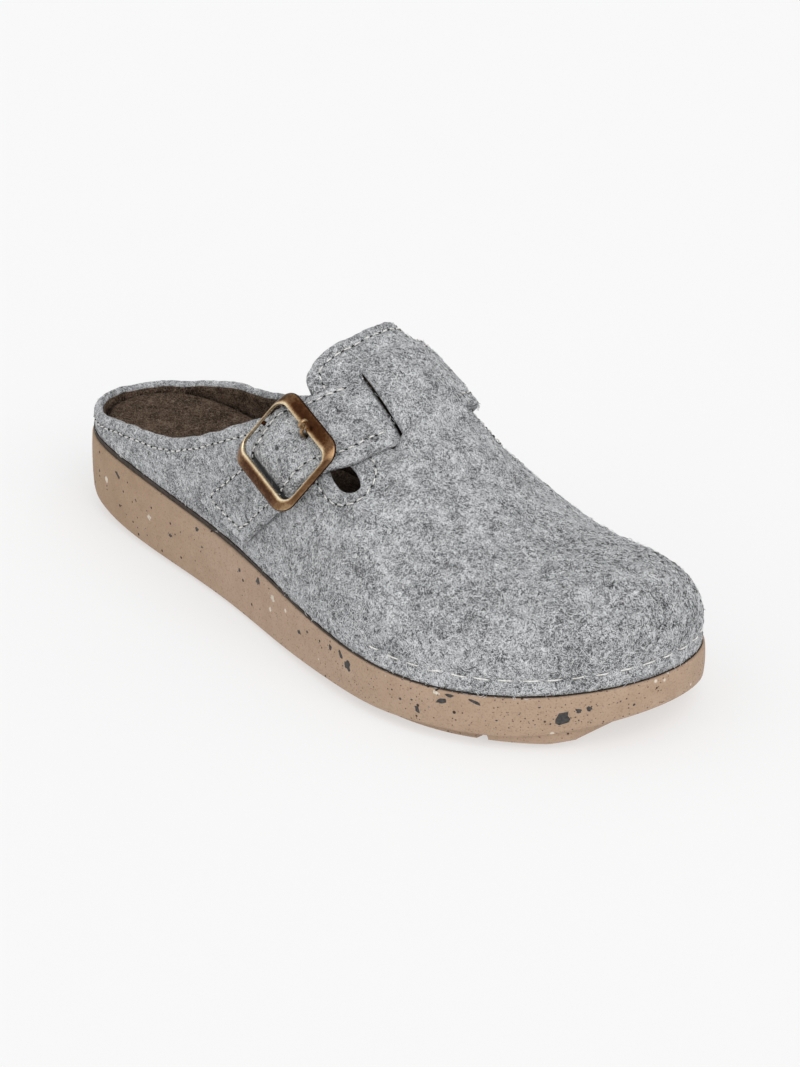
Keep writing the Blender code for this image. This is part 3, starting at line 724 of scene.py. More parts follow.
# %% Sole finish
def specks(tree, place, spacing_mm, largest, wanted=0.5):
    """1 inside round specks: a share of the cells has one, up to this part of a cell across."""
    cells = add_node(tree, "ShaderNodeTexVoronoi", {"Vector": place, "Scale": 1 / (spacing_mm * MM)})
    chance = add_node(tree, "ShaderNodeSeparateColor", {"Color": cells.outputs["Color"]}).outputs["Red"]
    reach = remap(tree, chance, 1 - wanted, 1.0, 0.0, largest)
    return remap(tree, arithmetic(tree, "SUBTRACT", reach, cells.outputs["Distance"]), 0.0, 0.06)


sole_finish, tree, shader, place = new_finish("tan_rubber", 0.72)
along_shoe = add_node(tree, "ShaderNodeSeparateXYZ", {"Vector": place}).outputs["X"]
forefoot = remap(tree, along_shoe, -0.10, -0.025)
mottle = noise_value(tree, place, 7.0, 3.0)
# Painted shade: the tan is darker towards the heel than over the forefoot.
heel_tan = ramp(tree, mottle, ((0.3, (0.350, 0.239, 0.155)), (0.7, (0.404, 0.283, 0.190))))
toe_tan = ramp(tree, mottle, ((0.3, (0.408, 0.289, 0.205)), (0.7, (0.460, 0.333, 0.243))))
tan = mix_colour(tree, forefoot, heel_tan, toe_tan)
grain = remap(tree, noise_value(tree, place, 0.6, 2.0), 0.50, 0.72, 0.0, 0.5)
tan = mix_colour(tree, grain, tan, (0.25, 0.165, 0.105))
pinholes = specks(tree, place, 0.95, 0.30, 0.85)
pinholes = arithmetic(tree, "MULTIPLY", pinholes, remap(tree, along_shoe, -0.05, 0.05, 0.40, 1.0))
brown_specks = specks(tree, place, 2.9, 0.24, 0.45)
pale_specks = specks(tree, place, 5.3, 0.16, 0.30)
tan = mix_colour(tree, pinholes, tan, (0.13, 0.075, 0.045))
tan = mix_colour(tree, brown_specks, tan, (0.045, 0.03, 0.022))
tan = mix_colour(tree, pale_specks, tan, (0.70, 0.62, 0.52))
tree.links.new(tan, shader.inputs["Base Color"])
shader.inputs["Specular IOR Level"].default_value = 0.25
pits = arithmetic(tree, "MULTIPLY", pinholes, 0.9)
foam = arithmetic(tree, "SUBTRACT", noise_value(tree, place, 0.8, 2.0), pits)
add_bump(tree, shader, foam, 0.12)
add_piece("moulded_sole", *sole_body, sole_finish, "sole", ["sole"], 35)

# %% [markdown]
# ## Chips in the sole's wall
# The larger bits have ragged outlines that a round speck cannot give, so they are real pieces:
# thin plates let into the wall, each with its own broken outline, standing out by a hair. The
# ones that catch the eye have their own rows, with their place as a station and as the share of
# the wall's height below its top, their size in millimetres and their lean in degrees.

# %% Chip tables
Chip = namedtuple("Chip", "station down length height lean")
DARK_CHIPS = (
    Chip(0.944, 0.55, 4.2, 3.6, 25),
    Chip(0.956, 0.41, 1.7, 1.3, 0),
    Chip(0.963, 0.40, 1.4, 1.6, 30),
    Chip(0.863, 0.14, 3.4, 1.1, -15),
    Chip(0.834, 0.08, 2.4, 0.9, 0),
    Chip(0.825, 0.25, 3.0, 1.9, 15),
    Chip(0.795, 0.62, 1.4, 2.3, 20),
    Chip(0.683, 0.30, 2.3, 2.9, 30),
    Chip(0.669, 0.16, 1.2, 2.2, 35),
    Chip(0.648, 0.17, 1.3, 1.8, 20),
    Chip(0.577, 0.38, 1.7, 1.2, 0),
    Chip(0.470, 0.14, 2.3, 2.1, 10),
    Chip(0.423, 0.24, 1.4, 1.2, 0),
    Chip(0.321, 0.13, 1.7, 1.3, 0),
    Chip(0.260, 0.54, 1.6, 1.2, 0),
    Chip(0.132, 0.20, 3.2, 1.2, -35),
)
CREAM_CHIPS = (
    Chip(0.818, 0.07, 2.0, 1.0, -10),
    Chip(0.509, 0.20, 2.6, 1.8, -30),
    Chip(0.503, 0.44, 1.4, 1.3, 30),
    Chip(0.210, 0.49, 1.9, 1.6, 0),
    Chip(0.100, 0.42, 1.9, 1.9, 0),
)
print(len(DARK_CHIPS), "dark and", len(CREAM_CHIPS), "cream chips have their own rows")

# %% [markdown]
# ## The shape of a chip
# A chip is a fan of triangles on the outside, a second fan inside the wall and a strip of quads
# between their rims. The rim's corners are pushed in and out at random, so that no two chips are
# alike, and every point is put on the bulging wall, so that a chip follows its curve.

# %% Chip shapes
CHIP_CORNERS = 11
CHIP_PROUD = 0.05 * MM
CHIP_DEPTH = 0.30 * MM
CHIP_RAGGED = (0.75, 1.5)


def wall_point(side, station, z, proud):
    """Place on the sole's wall at a station and a height, or a little out from it."""
    wall_top = sole_top(station) - SOLE_TOP_EDGE
    wall_low = sole_edge(station) + edge_radius(station)
    share = np.clip((wall_top - z) / (wall_top - wall_low), 0, 1)
    plan = inset_outline(np.full(z.shape, side), station, wall_inset(share) - proud)
    return np.column_stack([plan, z])


def chip_points(side, chip, generator):
    """Points of one chip: its middle and rim outside, then its middle and rim inside the wall."""
    turns = np.linspace(0, 2 * math.pi, CHIP_CORNERS, endpoint=False)
    ragged = generator.uniform(*CHIP_RAGGED, CHIP_CORNERS) * MM / 2
    flat = np.stack([chip.length * ragged * np.cos(turns), chip.height * ragged * np.sin(turns)], -1)
    lean = math.radians(chip.lean)
    flat = flat @ np.array([[math.cos(lean), math.sin(lean)], [-math.sin(lean), math.cos(lean)]])
    flat = np.concatenate([[[0, 0]], flat])
    step = 0.002
    ends = outline_at(side, angle_of(np.array([chip.station - step, chip.station + step])))
    pace = np.linalg.norm(ends[1] - ends[0]) / (2 * step)
    station = np.clip(chip.station + flat[:, 0] / pace, 0.001, 0.999)
    z = sole_top(chip.station) * (1 - chip.down) + sole_edge(chip.station) * chip.down + flat[:, 1]
    outside = wall_point(side, station, z, CHIP_PROUD)
    return np.concatenate([outside, wall_point(side, station, z, -CHIP_DEPTH)])


ring = np.arange(CHIP_CORNERS) + 1
after = np.roll(ring, -1)
chip_half = CHIP_CORNERS + 1
fans = np.concatenate([np.stack([0 * ring, ring, after], -1),
                       np.stack([0 * ring, after, ring], -1) + chip_half]).tolist()
chip_faces = fans + np.stack([ring, ring + chip_half, after + chip_half, after], -1).tolist()
print("a chip has", 2 * chip_half, "points and", len(chip_faces), "faces")

# %% [markdown]
# ## Strewing the chips
# The chips without a row of their own are strewn all round the wall by a generator with a fixed
# seed, so that they lie the same way on every run. A cubed random number makes small chips far
# more common than large ones.

# %% Chips
CHIP_SEED = 7
CHIP_WELD = 0.0005 * MM
STREWN_TURN = (0.06, 0.94)
STREWN_DOWN = (0.10, 0.80)
STREWN_FLATNESS = (0.5, 1.0)
STREWN_LEAN = (-60, 60)


def strewn_chips(count, sizes, generator):
    """Chips at even chances all round the wall, small ones more often than large ones."""
    chips = []
    for _ in range(count):
        size = sizes[0] + (sizes[1] - sizes[0]) * generator.random() ** 3
        station = station_at(math.pi * generator.uniform(*STREWN_TURN))
        side = generator.choice([-1.0, 1.0])
        down = generator.uniform(*STREWN_DOWN)
        height = size * generator.uniform(*STREWN_FLATNESS)
        chips.append((side, Chip(station, down, size, height, generator.uniform(*STREWN_LEAN))))
    return chips


def add_chips(name, chosen, strewn, sizes, dark, light):
    """Piece of chips: the chosen ones on the lateral side, and a number of strewn ones."""
    generator = np.random.default_rng(CHIP_SEED)
    chips = [(-1.0, chip) for chip in chosen] + strewn_chips(strewn, sizes, generator)
    points = np.concatenate([chip_points(side, chip, generator) for side, chip in chips])
    firsts = np.arange(len(chips)) * 2 * chip_half
    faces = [[corner + first for corner in face] for first in firsts.tolist() for face in chip_faces]
    material, tree, shader, spot = new_finish(name, 0.6)
    tree.links.new(ramp(tree, noise_value(tree, spot, 0.9, 3.0), ((0.35, dark), (0.65, light))),
                   shader.inputs["Base Color"])
    add_piece(name, *welded(points, faces, CHIP_WELD), material, "sole", sharp_angle=40)


add_chips("dark_chips", DARK_CHIPS, 90, (0.4, 1.2), (0.018, 0.017, 0.018), (0.06, 0.055, 0.052))
add_chips("cream_chips", CREAM_CHIPS, 14, (0.4, 1.0), (0.50, 0.43, 0.35), (0.74, 0.68, 0.58))

# %% [markdown]
# ## The dark layer over the sole
# Between sole and felt shows a thin dark line, the edge of the board that the felt is lasted
# over. A slab between two heights of the same outline is all it needs. Towards the toe the felt
# hangs lower over it, so the line thins out there.

# %% Dark layer
MIDSOLE_INSET = 0.6 * MM
MIDSOLE_ROWS = 140
FOOT_DROOP = 1.0 * MM
DROOP_START = 0.3
DROOP_FULL = 0.8


def foot_droop(station):
    """How far the felt's lower edge hangs over the board, more and more towards the toe."""
    return FOOT_DROOP * smooth_step(station, DROOP_START, DROOP_FULL)


def plan_grid(stations, inset, shares):
    """Points in plan across the sole: shares run from -1, lateral, to +1, medial."""
    lateral = inset_outline(np.full(stations.shape, -1.0), stations, np.full(stations.shape, inset))
    medial = inset_outline(np.full(stations.shape, 1.0), stations, np.full(stations.shape, inset))
    across = ((shares + 1) / 2)[None, :, None]
    return lateral[:, None] * (1 - across) + medial[:, None] * across


def with_height(plan, z):
    return np.concatenate([plan, np.broadcast_to(z, plan.shape[:2])[..., None]], -1)


stations = stations_between(0, 1, MIDSOLE_ROWS)
plan = plan_grid(stations, MIDSOLE_INSET, np.array([-1.0, 1.0]))
board_low = with_height(plan, (sole_top(stations) + GAP)[:, None]).reshape(-1, 3)
board_top = foot_height(stations) - GAP - foot_droop(stations)
board_high = with_height(plan, board_top[:, None]).reshape(-1, 3)
board_finish, tree, shader, place = new_finish("dark_board", 0.85)
board_tones = ((0.3, (0.025, 0.017, 0.012)), (0.7, (0.06, 0.042, 0.03)))
board_colour = ramp(tree, noise_value(tree, place, 1.5), board_tones)
tree.links.new(board_colour, shader.inputs["Base Color"])
points, faces = close_sheet(board_high, board_low, grid_quads(len(stations), 2))
add_piece("dark_board", *welded(points, faces), board_finish, "midsole", ["midsole"], 40)

# %% [markdown]
# ## Felt as a material
# Felt is pressed wool of mixed shades. Four noises make the melange: specks, flecks, tufts and
# broad cloudy patches. Hairs are drawn as the contour lines of further noises: wherever a noise
# passes one half there is a thin curling line, which is just how a loose hair lies.

# %% Felt material
def hair_lines(tree, place, size_mm, width):
    """Thin curling lines along the half-way contour of a noise, 1 on a line and 0 beside it."""
    level = noise_value(tree, place, size_mm, 1.0)
    off_line = arithmetic(tree, "ABSOLUTE", arithmetic(tree, "SUBTRACT", level, 0.5))
    return remap(tree, off_line, 0.0, width, 1.0, 0.0)


def weighted_sum(tree, parts):
    """Sum of values, each times its weight."""
    total = 0.0
    for value, weight in parts:
        total = arithmetic(tree, "ADD", arithmetic(tree, "MULTIPLY", value, weight), total)
    return total


HairLines = namedtuple("HairLines", "size_mm width share pale")
HAIR_LINES = (
    HairLines(2.3, 0.014, 0.60, False),
    HairLines(1.2, 0.030, 0.50, False),
    HairLines(2.9, 0.016, 0.75, True),
    HairLines(1.5, 0.028, 0.60, True),
)
WoolTones = namedtuple("WoolTones", "dark middle light hair")


def felt_finish(name, tones):
    """Felt material up to the colour of its wool, which is left for the caller to link."""
    material, tree, shader, place = new_finish(name, 1.0)
    speck = noise_value(tree, place, 0.42, 1.0)
    fleck = noise_value(tree, place, 0.9, 2.0, 0.6)
    tuft = noise_value(tree, place, 2.4, 2.0, 0.6, 0.4)
    cloud = noise_value(tree, place, 8.0, 2.0)
    blend = weighted_sum(tree, ((speck, 0.42), (fleck, 0.22), (tuft, 0.20), (cloud, 0.22)))
    wool = ramp(tree, blend, ((0.435, tones.dark), (0.53, tones.middle), (0.625, tones.light)))
    for lines in HAIR_LINES:
        drawn = hair_lines(tree, place, lines.size_mm, lines.width)
        drawn = arithmetic(tree, "MULTIPLY", drawn, lines.share)
        wool = mix_colour(tree, drawn, wool, tones.hair if lines.pale else tones.dark)
    shader.inputs["Specular IOR Level"].default_value = 0.05
    add_bump(tree, shader, blend, 1.1)
    return material, tree, shader, place, wool


print("the felt's hairs are drawn by", len(HAIR_LINES), "noises")

# %% [markdown]
# ## Grey felt and brown felt
# The grey felt has a faint sheen, and an attribute of the mesh tells where the strap gets a painted
# shade beside the buckle. The brown felt inside is given a painted shade that darkens towards the
# toe and towards the bed, where little light comes in.

# %% Grey and brown felt
GREY_WOOL = WoolTones((0.085, 0.087, 0.091), (0.325, 0.332, 0.342),
                      (0.66, 0.67, 0.685), (0.86, 0.87, 0.88))
BROWN_WOOL = WoolTones((0.018, 0.012, 0.008), (0.068, 0.045, 0.031),
                       (0.150, 0.104, 0.075), (0.25, 0.19, 0.145))

grey_felt, tree, shader, place, wool = felt_finish("grey_felt", GREY_WOOL)
# Painted shade beside the buckle's bars: this attribute mixes the strap's wool towards near black.
painted_shade = add_node(tree, "ShaderNodeAttribute", attribute_name="painted_shade").outputs["Fac"]
tree.links.new(mix_colour(tree, painted_shade, wool, (0.006, 0.005, 0.005)), shader.inputs["Base Color"])
shader.inputs["Sheen Weight"].default_value = 0.12
shader.inputs["Sheen Roughness"].default_value = 0.6

brown_felt, tree, shader, place, wool = felt_finish("brown_felt", BROWN_WOOL)
# Painted shade: the brown felt is mixed towards near black forwards and low, where little light comes.
inside = add_node(tree, "ShaderNodeSeparateXYZ", {"Vector": place})
forward_and_low = weighted_sum(tree, ((inside.outputs["X"], 1.0), (inside.outputs["Z"], -0.8)))
inner_painted_shade = remap(tree, forward_and_low, -0.078, -0.036, 0.0, 0.95)
tree.links.new(mix_colour(tree, inner_painted_shade, wool, (0.002, 0.0016, 0.0013)), shader.inputs["Base Color"])
print("felt materials:", grey_felt.name, brown_felt.name)

# %% [markdown]
# ## Nap and creases
# Under its hairs felt is never smooth: it has tufts of a few millimetres, soft troughs where the
# foot bends it, and a furrow along every row of stitches. The tufts are three dimensional noise,
# read at each point. Troughs and furrows are lines on the shoe with a depth and a width; a search
# tree over a line's points finds how near each point of the felt is, far faster than a loop.

# %% Nap
LUMP_SIZE = 5.0 * MM
TUFT_SIZE = 2.1 * MM
LUMP_DEPTH = 0.24 * MM
TUFT_DEPTH = 0.13 * MM


def nap_height(points):
    """Height of the felt's tufts at each point."""
    lumps = np.array([noise.noise(Vector(point) / LUMP_SIZE) for point in points])
    tufts = np.array([noise.noise(Vector(point) / TUFT_SIZE) for point in points])
    return LUMP_DEPTH * lumps + TUFT_DEPTH * tufts


def point_tree(points):
    """Search tree for the nearest of many points."""
    found = kdtree.KDTree(len(points))
    for number, point in enumerate(points):
        found.insert(point, number)
    found.balance()
    return found


def resampled(line, spacing):
    """Columns of a line, read at even steps along its first three, which are its places."""
    reach = np.concatenate([[0], np.cumsum(np.linalg.norm(np.diff(line[:, :3], axis=0), axis=1))])
    places = np.linspace(0, reach[-1], max(2, round(reach[-1] / spacing)))
    return np.stack([np.interp(places, reach, values) for values in line.T], -1)


def near_line(points, line, width):
    """1 on a line through the given places and falling softly to 0 beside it."""
    dense = point_tree(resampled(line, width / 4)[:, :3])
    nearest = np.array([dense.find(point)[2] for point in points])
    return np.exp(-(nearest / width) ** 2)


print("tufts of", TUFT_SIZE / MM, "and lumps of", LUMP_SIZE / MM, "mm")

# %% [markdown]
# ## The insole
# The footbed is brown felt, a little dished at the heel. It is a dense grid over the sole's plan
# with its edge rolled off and the nap added on top.

# %% Insole
INSOLE_INSET = 6.0 * MM
INSOLE_HEEL = 3.0 * MM
INSOLE_TOE = 2.8 * MM
INSOLE_CUP = 1.6 * MM
INSOLE_ROUND = 1.4 * MM
INSOLE_NAP = 0.6
INSOLE_ROWS = 170
INSOLE_COLUMNS = 61

stations = stations_between(0, 1, INSOLE_ROWS)
shares = np.sin(np.linspace(-1, 1, INSOLE_COLUMNS) * math.pi / 2)
plan = plan_grid(stations, INSOLE_INSET, shares)
low = foot_height(stations)[:, None]
thickness = INSOLE_HEEL + (INSOLE_TOE - INSOLE_HEEL) * stations
depth = INSOLE_CUP * (1 - stations) * np.sin(angle_of(stations))
cup = depth[:, None] * (shares ** 2 - 1)[None, :]
half_width = half_by_angle(angle_of(stations))[:, None] - INSOLE_INSET
edge_gap = np.maximum(half_width, 0) * (1 - np.abs(shares))[None, :]
bed_low = with_height(plan, low).reshape(-1, 3)
bed_height = low + thickness[:, None] + cup - roll_off(edge_gap, INSOLE_ROUND)
bed_top = with_height(plan, bed_height).reshape(-1, 3)
bed_top[:, 2] += INSOLE_NAP * nap_height(bed_top)
points, faces = close_sheet(bed_top, bed_low, grid_quads(len(stations), len(shares)))
add_piece("felt_footbed", *welded(points, faces), brown_felt, "insole", ["insole"])

# %% [markdown]
# ## The collar line
# Seen from the side, one line runs along the low heel, up to the strap, into a rounded notch and
# up the back of the flap. The felt is cut where this line crosses it. The distance of every
# point to the line is worked out once: its sign says what is cut away, and its size later
# rounds the edge and places the row of stitches beside it.

# %% Collar line
CollarRow = namedtuple("CollarRow", "along z")
COLLAR_ROWS = (
    CollarRow(-12.0, 35.3),
    CollarRow(4.0, 35.4),
    CollarRow(18.0, 36.9),
    CollarRow(33.5, 39.8),
    CollarRow(52.0, 42.5),
    CollarRow(69.0, 47.1),
    CollarRow(85.0, 54.7),
    CollarRow(99.0, 62.4),
    CollarRow(109.0, 67.7),
    CollarRow(117.0, 70.1),
    CollarRow(126.0, 69.5),
    CollarRow(137.0, 65.6),
    CollarRow(143.4, 61.8),
    CollarRow(147.5, 59.6),
    CollarRow(151.2, 58.8),
    CollarRow(155.0, 59.4),
    CollarRow(156.8, 60.9),
    CollarRow(155.5, 62.6),
    CollarRow(151.0, 64.8),
    CollarRow(130.0, 74.9),
    CollarRow(123.4, 79.0),
    CollarRow(119.3, 82.3),
    CollarRow(118.4, 86.2),
    CollarRow(120.0, 90.6),
    CollarRow(124.3, 95.6),
    CollarRow(126.8, 103.4),
    CollarRow(127.2, 116.0),
)
COLLAR_TILT = 0.03
COLLAR_POINTS = 180
CUT_TOP = 140 * MM

along = column(COLLAR_ROWS, "along") * MM - LENGTH / 2
height = column(COLLAR_ROWS, "z") * MM
reach = np.concatenate([[0], np.cumsum(np.hypot(np.diff(along), np.diff(height)))])
places = np.linspace(0, reach[-1], COLLAR_POINTS)
collar_line = np.stack([smooth_curve(reach, along)(places), smooth_curve(reach, height)(places)], -1)
cut_shape = np.concatenate([collar_line, [[collar_line[-1, 0], CUT_TOP], [collar_line[0, 0], CUT_TOP]]])


def collar_gap(points):
    """Distance to the collar line in side view, less than 0 where the felt is cut away."""
    seen = np.stack([points[:, 0], points[:, 2] + COLLAR_TILT * points[:, 1]], -1)
    nearest = np.full(len(seen), np.inf)
    for start, end in zip(collar_line, collar_line[1:]):
        run = end - start
        share = np.clip((seen - start) @ run / (run @ run), 0, 1)
        nearest = np.minimum(nearest, np.linalg.norm(seen - start - share[:, None] * run, axis=1))
    inside = np.zeros(len(seen), bool)
    for start, end in zip(cut_shape, np.roll(cut_shape, -1, axis=0)):
        spans = (start[1] > seen[:, 1]) != (end[1] > seen[:, 1])
        slope = (end[0] - start[0]) / (end[1] - start[1]) if end[1] != start[1] else 0.0
        inside ^= spans & (seen[:, 0] < start[0] + slope * (seen[:, 1] - start[1]))
    return np.where(inside, -nearest, nearest)


print("collar line in mm:", round(reach[-1] / MM), "long")

# %% [markdown]
# ## The loft of the felt
# The upper is lofted as a dense grid over stations and girths, with the cells of both slits left
# out. The runs below are rough lengths on the felt, so that its cells come out nearly square. The
# cut edge of real felt is never quite straight, so a slow noise is added to the collar's distance.

# %% Loft of the felt
REAR_RUN = 157 * MM
MOUTH_RUN = 33 * MM
TOE_RUN = 120 * MM
SIDE_RUN = 80 * MM
TOP_RUN = 20 * MM
FOOT_CROWDING = 1.1
GIRTH_REACH = 90 * MM
MOUTH_START = 0.507
MOUTH_END = 0.620
MOUTH_INNER = 0.184
STRAP_MEDIAL_SHIFT = 0.011
EDGE_WAVE = 0.7 * MM
EDGE_WAVE_SIZE = 7.0 * MM


def slit_gap(station, girth):
    """Distance on the felt to the nearest slit."""
    around = np.abs(girth)
    station = station + STRAP_MEDIAL_SHIFT * (girth > 0)
    beyond = np.maximum(np.maximum(MOUTH_START - station, station - MOUTH_END), 0) * LENGTH
    beside = np.maximum(np.maximum(MOUTH_INNER - around, around - SLIT_OUTER), 0) * GIRTH_REACH
    return np.hypot(beyond, beside)


def felt_grid(spacing):
    """The whole loft before trimming, as one row of values for each point, and its quads."""
    rear = stations_between(0, MOUTH_START, round(REAR_RUN / spacing))
    slit = np.linspace(MOUTH_START, MOUTH_END, round(MOUTH_RUN / spacing))
    toe = stations_between(MOUTH_END, 1, round(TOE_RUN / spacing))
    station = np.concatenate([rear, slit[1:], toe[1:]])
    to_foot = 1 - (1 - SLIT_OUTER) * np.linspace(1, 0, round(SIDE_RUN / spacing)) ** FOOT_CROWDING
    half = np.concatenate([np.linspace(0, MOUTH_INNER, round(TOP_RUN / spacing)), to_foot])
    girth = np.concatenate([-half[:0:-1], half])
    station, girth = np.broadcast_arrays(station[:, None], girth[None, :])
    normals = upper_normal(off_the_ends(station), girth)
    index = np.arange(station.size).reshape(station.shape)
    for end in (0, -1):
        normals[end] = unit(normals[end] + normals[end, ::-1])
        index[end] = np.minimum(index[end], index[end, ::-1])
    quads = grid_quads(*station.shape)
    middle_girth = girth.ravel()[quads].mean(axis=1)
    middle_station = station.ravel()[quads].mean(axis=1) + STRAP_MEDIAL_SHIFT * (middle_girth > 0)
    middle_girth = np.abs(middle_girth)
    in_slit = (middle_station > MOUTH_START) & (middle_station < MOUTH_END)
    in_slit &= (middle_girth > MOUTH_INNER) & (middle_girth < SLIT_OUTER)
    points = felt_point(station, girth).reshape(-1, 3)
    wave = EDGE_WAVE * np.array([noise.noise(Vector(point) / EDGE_WAVE_SIZE) for point in points])
    gap = collar_gap(points) + wave
    values = np.column_stack([points, normals.reshape(-1, 3), station.ravel(), girth.ravel(), gap])
    return values, index.ravel()[quads[~in_slit]]


print("the mouth of a slit is", round((MOUTH_END - MOUTH_START) * LENGTH / MM), "mm long")

# %% [markdown]
# ## Trimming the felt along the collar
# Trimming a grid of quads is the marching squares idea: a quad that straddles the line keeps its
# inner corners and gets new ones where its sides cross the line. That gives a clean edge with no
# boolean and keeps every other quad square.

# %% Felt sheet
FeltSheet = namedtuple("FeltSheet", "points normals stations girths gap faces")
FELT_SPACING = 1.03 * MM
TRIM_NUDGE = 0.15 * MM
GAP_COLUMN = 8


def crossing(values, keep, first, second):
    share = keep[first] / (keep[first] - keep[second])
    return values[first] * (1 - share) + values[second] * share


def trimmed(values, quads, keep):
    """Quads with keep over 0, and cut quads along the line where it is 0."""
    keep = np.where(np.abs(keep) < TRIM_NUDGE, np.copysign(TRIM_NUDGE, keep), keep)
    inside = keep > 0
    count = inside[quads].sum(axis=1)
    faces = quads[count == 4].tolist()
    added = []
    number = {}
    for quad in quads[(count > 0) & (count < 4)].tolist():
        face = []
        for here, there in zip(quad, quad[1:] + quad[:1]):
            if inside[here]:
                face.append(here)
            if inside[here] != inside[there]:
                edge = (min(here, there), max(here, there))
                if edge not in number:
                    number[edge] = len(values) + len(added)
                    added.append(crossing(values, keep, *edge))
                face.append(number[edge])
        faces.append(face)
    whole = len(values)
    values = np.concatenate([values, added])
    used = np.unique(np.concatenate(faces).astype(int))
    renumber = np.zeros(len(values), int)
    renumber[used] = np.arange(len(used))
    return values[used], [renumber[face].tolist() for face in faces], renumber[whole:]


def felt_sheet(spacing, collar_drop=0.0):
    """Loft with this spacing, trimmed at the collar or at a distance below it."""
    values, quads = felt_grid(spacing)
    values, faces, _ = trimmed(values, quads, values[:, GAP_COLUMN] - collar_drop)
    points, normals = values[:, 0:3], unit(values[:, 3:6])
    station, girth = values[:, 6], values[:, 7]
    gap = np.minimum(values[:, GAP_COLUMN] - collar_drop, slit_gap(station, girth))
    return FeltSheet(points, normals, station, girth, np.maximum(gap, 0), faces)


sheet = felt_sheet(FELT_SPACING)
print("felt sheet:", len(sheet.points), "points and", len(sheet.faces), "faces")

# %% [markdown]
# ## Where the stitches run
# A row of off-white stitches follows the collar all the way round, 4 mm from the edge, and longer
# ones hold the felt to the board round the toe. Trimming a coarser grid at 4 mm from the collar
# leaves a rim that is exactly that row, so its points only have to be put in order. The toe row
# is found station by station, as the girth at which the felt is so high over its lower edge.

# %% Stitch lines
COLLAR_ROW = 4.0 * MM
TOE_ROW = 4.0 * MM
TOE_ROW_START = 0.715
ROW_SPACING = 1.6 * MM


def smoothed(line, times):
    """Closed line whose points are drawn towards their neighbours a few times."""
    for _ in range(times):
        line = (np.roll(line, 1, axis=0) + 2 * line + np.roll(line, -1, axis=0)) / 4
    return line


def collar_row(distance):
    """Line on the felt at one distance from the collar, with its normals, in order."""
    values, quads = felt_grid(ROW_SPACING)
    values, faces, rim = trimmed(values, quads, values[:, GAP_COLUMN] - distance)
    on_rim = set(rim.tolist())
    after = {a: b for a, b in open_edges(faces) if a in on_rim and b in on_rim}
    order = [min(after)]
    while after[order[-1]] != order[0]:
        order.append(after[order[-1]])
    loop = smoothed(values[order][:, :6], 3)
    return np.concatenate([loop, loop[:1]])


def toe_row(height):
    """Line round the toe at one height over the felt's lower edge, with its normals."""
    stations = stations_between(TOE_ROW_START, 1, 60)
    girths = np.linspace(1.0, 0.7, 40)
    rows = []
    for side in (-1, 1):
        surface = upper_point(stations[:, None], side * girths[None, :])
        heights = surface[..., 2] - foot_height(stations)[:, None]
        girth = side * np.array([np.interp(height, row, girths) for row in heights])
        normals = upper_normal(off_the_ends(stations), girth)
        rows.append(np.concatenate([felt_point(stations, girth), normals], -1))
    return np.concatenate([rows[0], rows[1][-2::-1]])


collar_stitches = collar_row(COLLAR_ROW)
toe_stitches = toe_row(TOE_ROW)
print("stitch rows of", len(collar_stitches), "and", len(toe_stitches), "points")

# %% [markdown]
# ## The felt upper and its lining
# The wall is 3.6 mm: three of grey felt and the rest a brown lining that stops just short of the
# cut edge, so the rim shows grey. Both come from the same loft, the lining on a coarser grid
# because it lies in the dark. Creases are given as places on the shoe, each with a depth and a
# width in millimetres; a depth below zero is a ridge.

# %% Felt upper and lining
LINING = 0.6 * MM
FELT_EDGE_ROUND = 1.3 * MM
LINING_DROP = 1.6 * MM
LINING_SPACING = 2.2 * MM
DROOP_GIRTH = 0.94
FURROW_DEPTH = 0.45 * MM
FURROW_WIDTH = 1.3 * MM
Crease = namedtuple("Crease", "places depth width")
CREASES = (
    Crease(((0.655, -0.36), (0.685, -0.27), (0.70, -0.16)), 0.9, 6.0),
    Crease(((0.700, -0.52), (0.725, -0.38), (0.735, -0.22), (0.73, -0.06)), 0.7, 7.0),
    Crease(((0.635, 0.08), (0.66, 0.20), (0.665, 0.34)), 1.0, 6.0),
    Crease(((0.60, -0.62), (0.63, -0.72), (0.66, -0.80)), 0.6, 5.0),
    Crease(((0.30, -0.70), (0.36, -0.62), (0.41, -0.58)), 0.6, 6.0),
    Crease(((0.67, -0.25), (0.69, -0.12), (0.69, 0.05)), -0.5, 5.0),
)

drop = roll_off(sheet.gap, FELT_EDGE_ROUND)[:, None]
relief = nap_height(sheet.points)
for row in (collar_stitches, toe_stitches):
    relief -= FURROW_DEPTH * near_line(sheet.points, row, FURROW_WIDTH)
for crease in CREASES:
    line = np.array([felt_point(station, girth) for station, girth in crease.places])
    relief -= crease.depth * MM * near_line(sheet.points, line, crease.width * MM)
felt_top = sheet.points + sheet.normals * (relief[:, None] - drop)
felt_top[:, 2] -= foot_droop(sheet.stations) * smooth_step(np.abs(sheet.girths), DROOP_GIRTH, 1.0)
felt_under = sheet.points - sheet.normals * (FELT_WALL - LINING - drop)
points, faces = close_sheet(felt_top, felt_under, sheet.faces)
add_piece("felt_upper", points, faces, grey_felt, "upper", ["upper"])

lining_sheet = felt_sheet(LINING_SPACING, LINING_DROP)
lining_top = lining_sheet.points - lining_sheet.normals * (FELT_WALL - LINING)
lining_under = lining_sheet.points - lining_sheet.normals * FELT_WALL
points, faces = close_sheet(lining_top, lining_under, lining_sheet.faces)
add_piece("brown_lining", points, faces, brown_felt, "upper")

# %% [markdown]
# ## The buckle's own axes
# The buckle lies on the strap, turned and leaning a little. Working in its own three axes, along
# the strap, across it and out from the felt, keeps its parts simple: bars, prong and the level of
# the strap in the window are all plain numbers there. The strap's own table comes first, since
# its two edges say which way the buckle points.

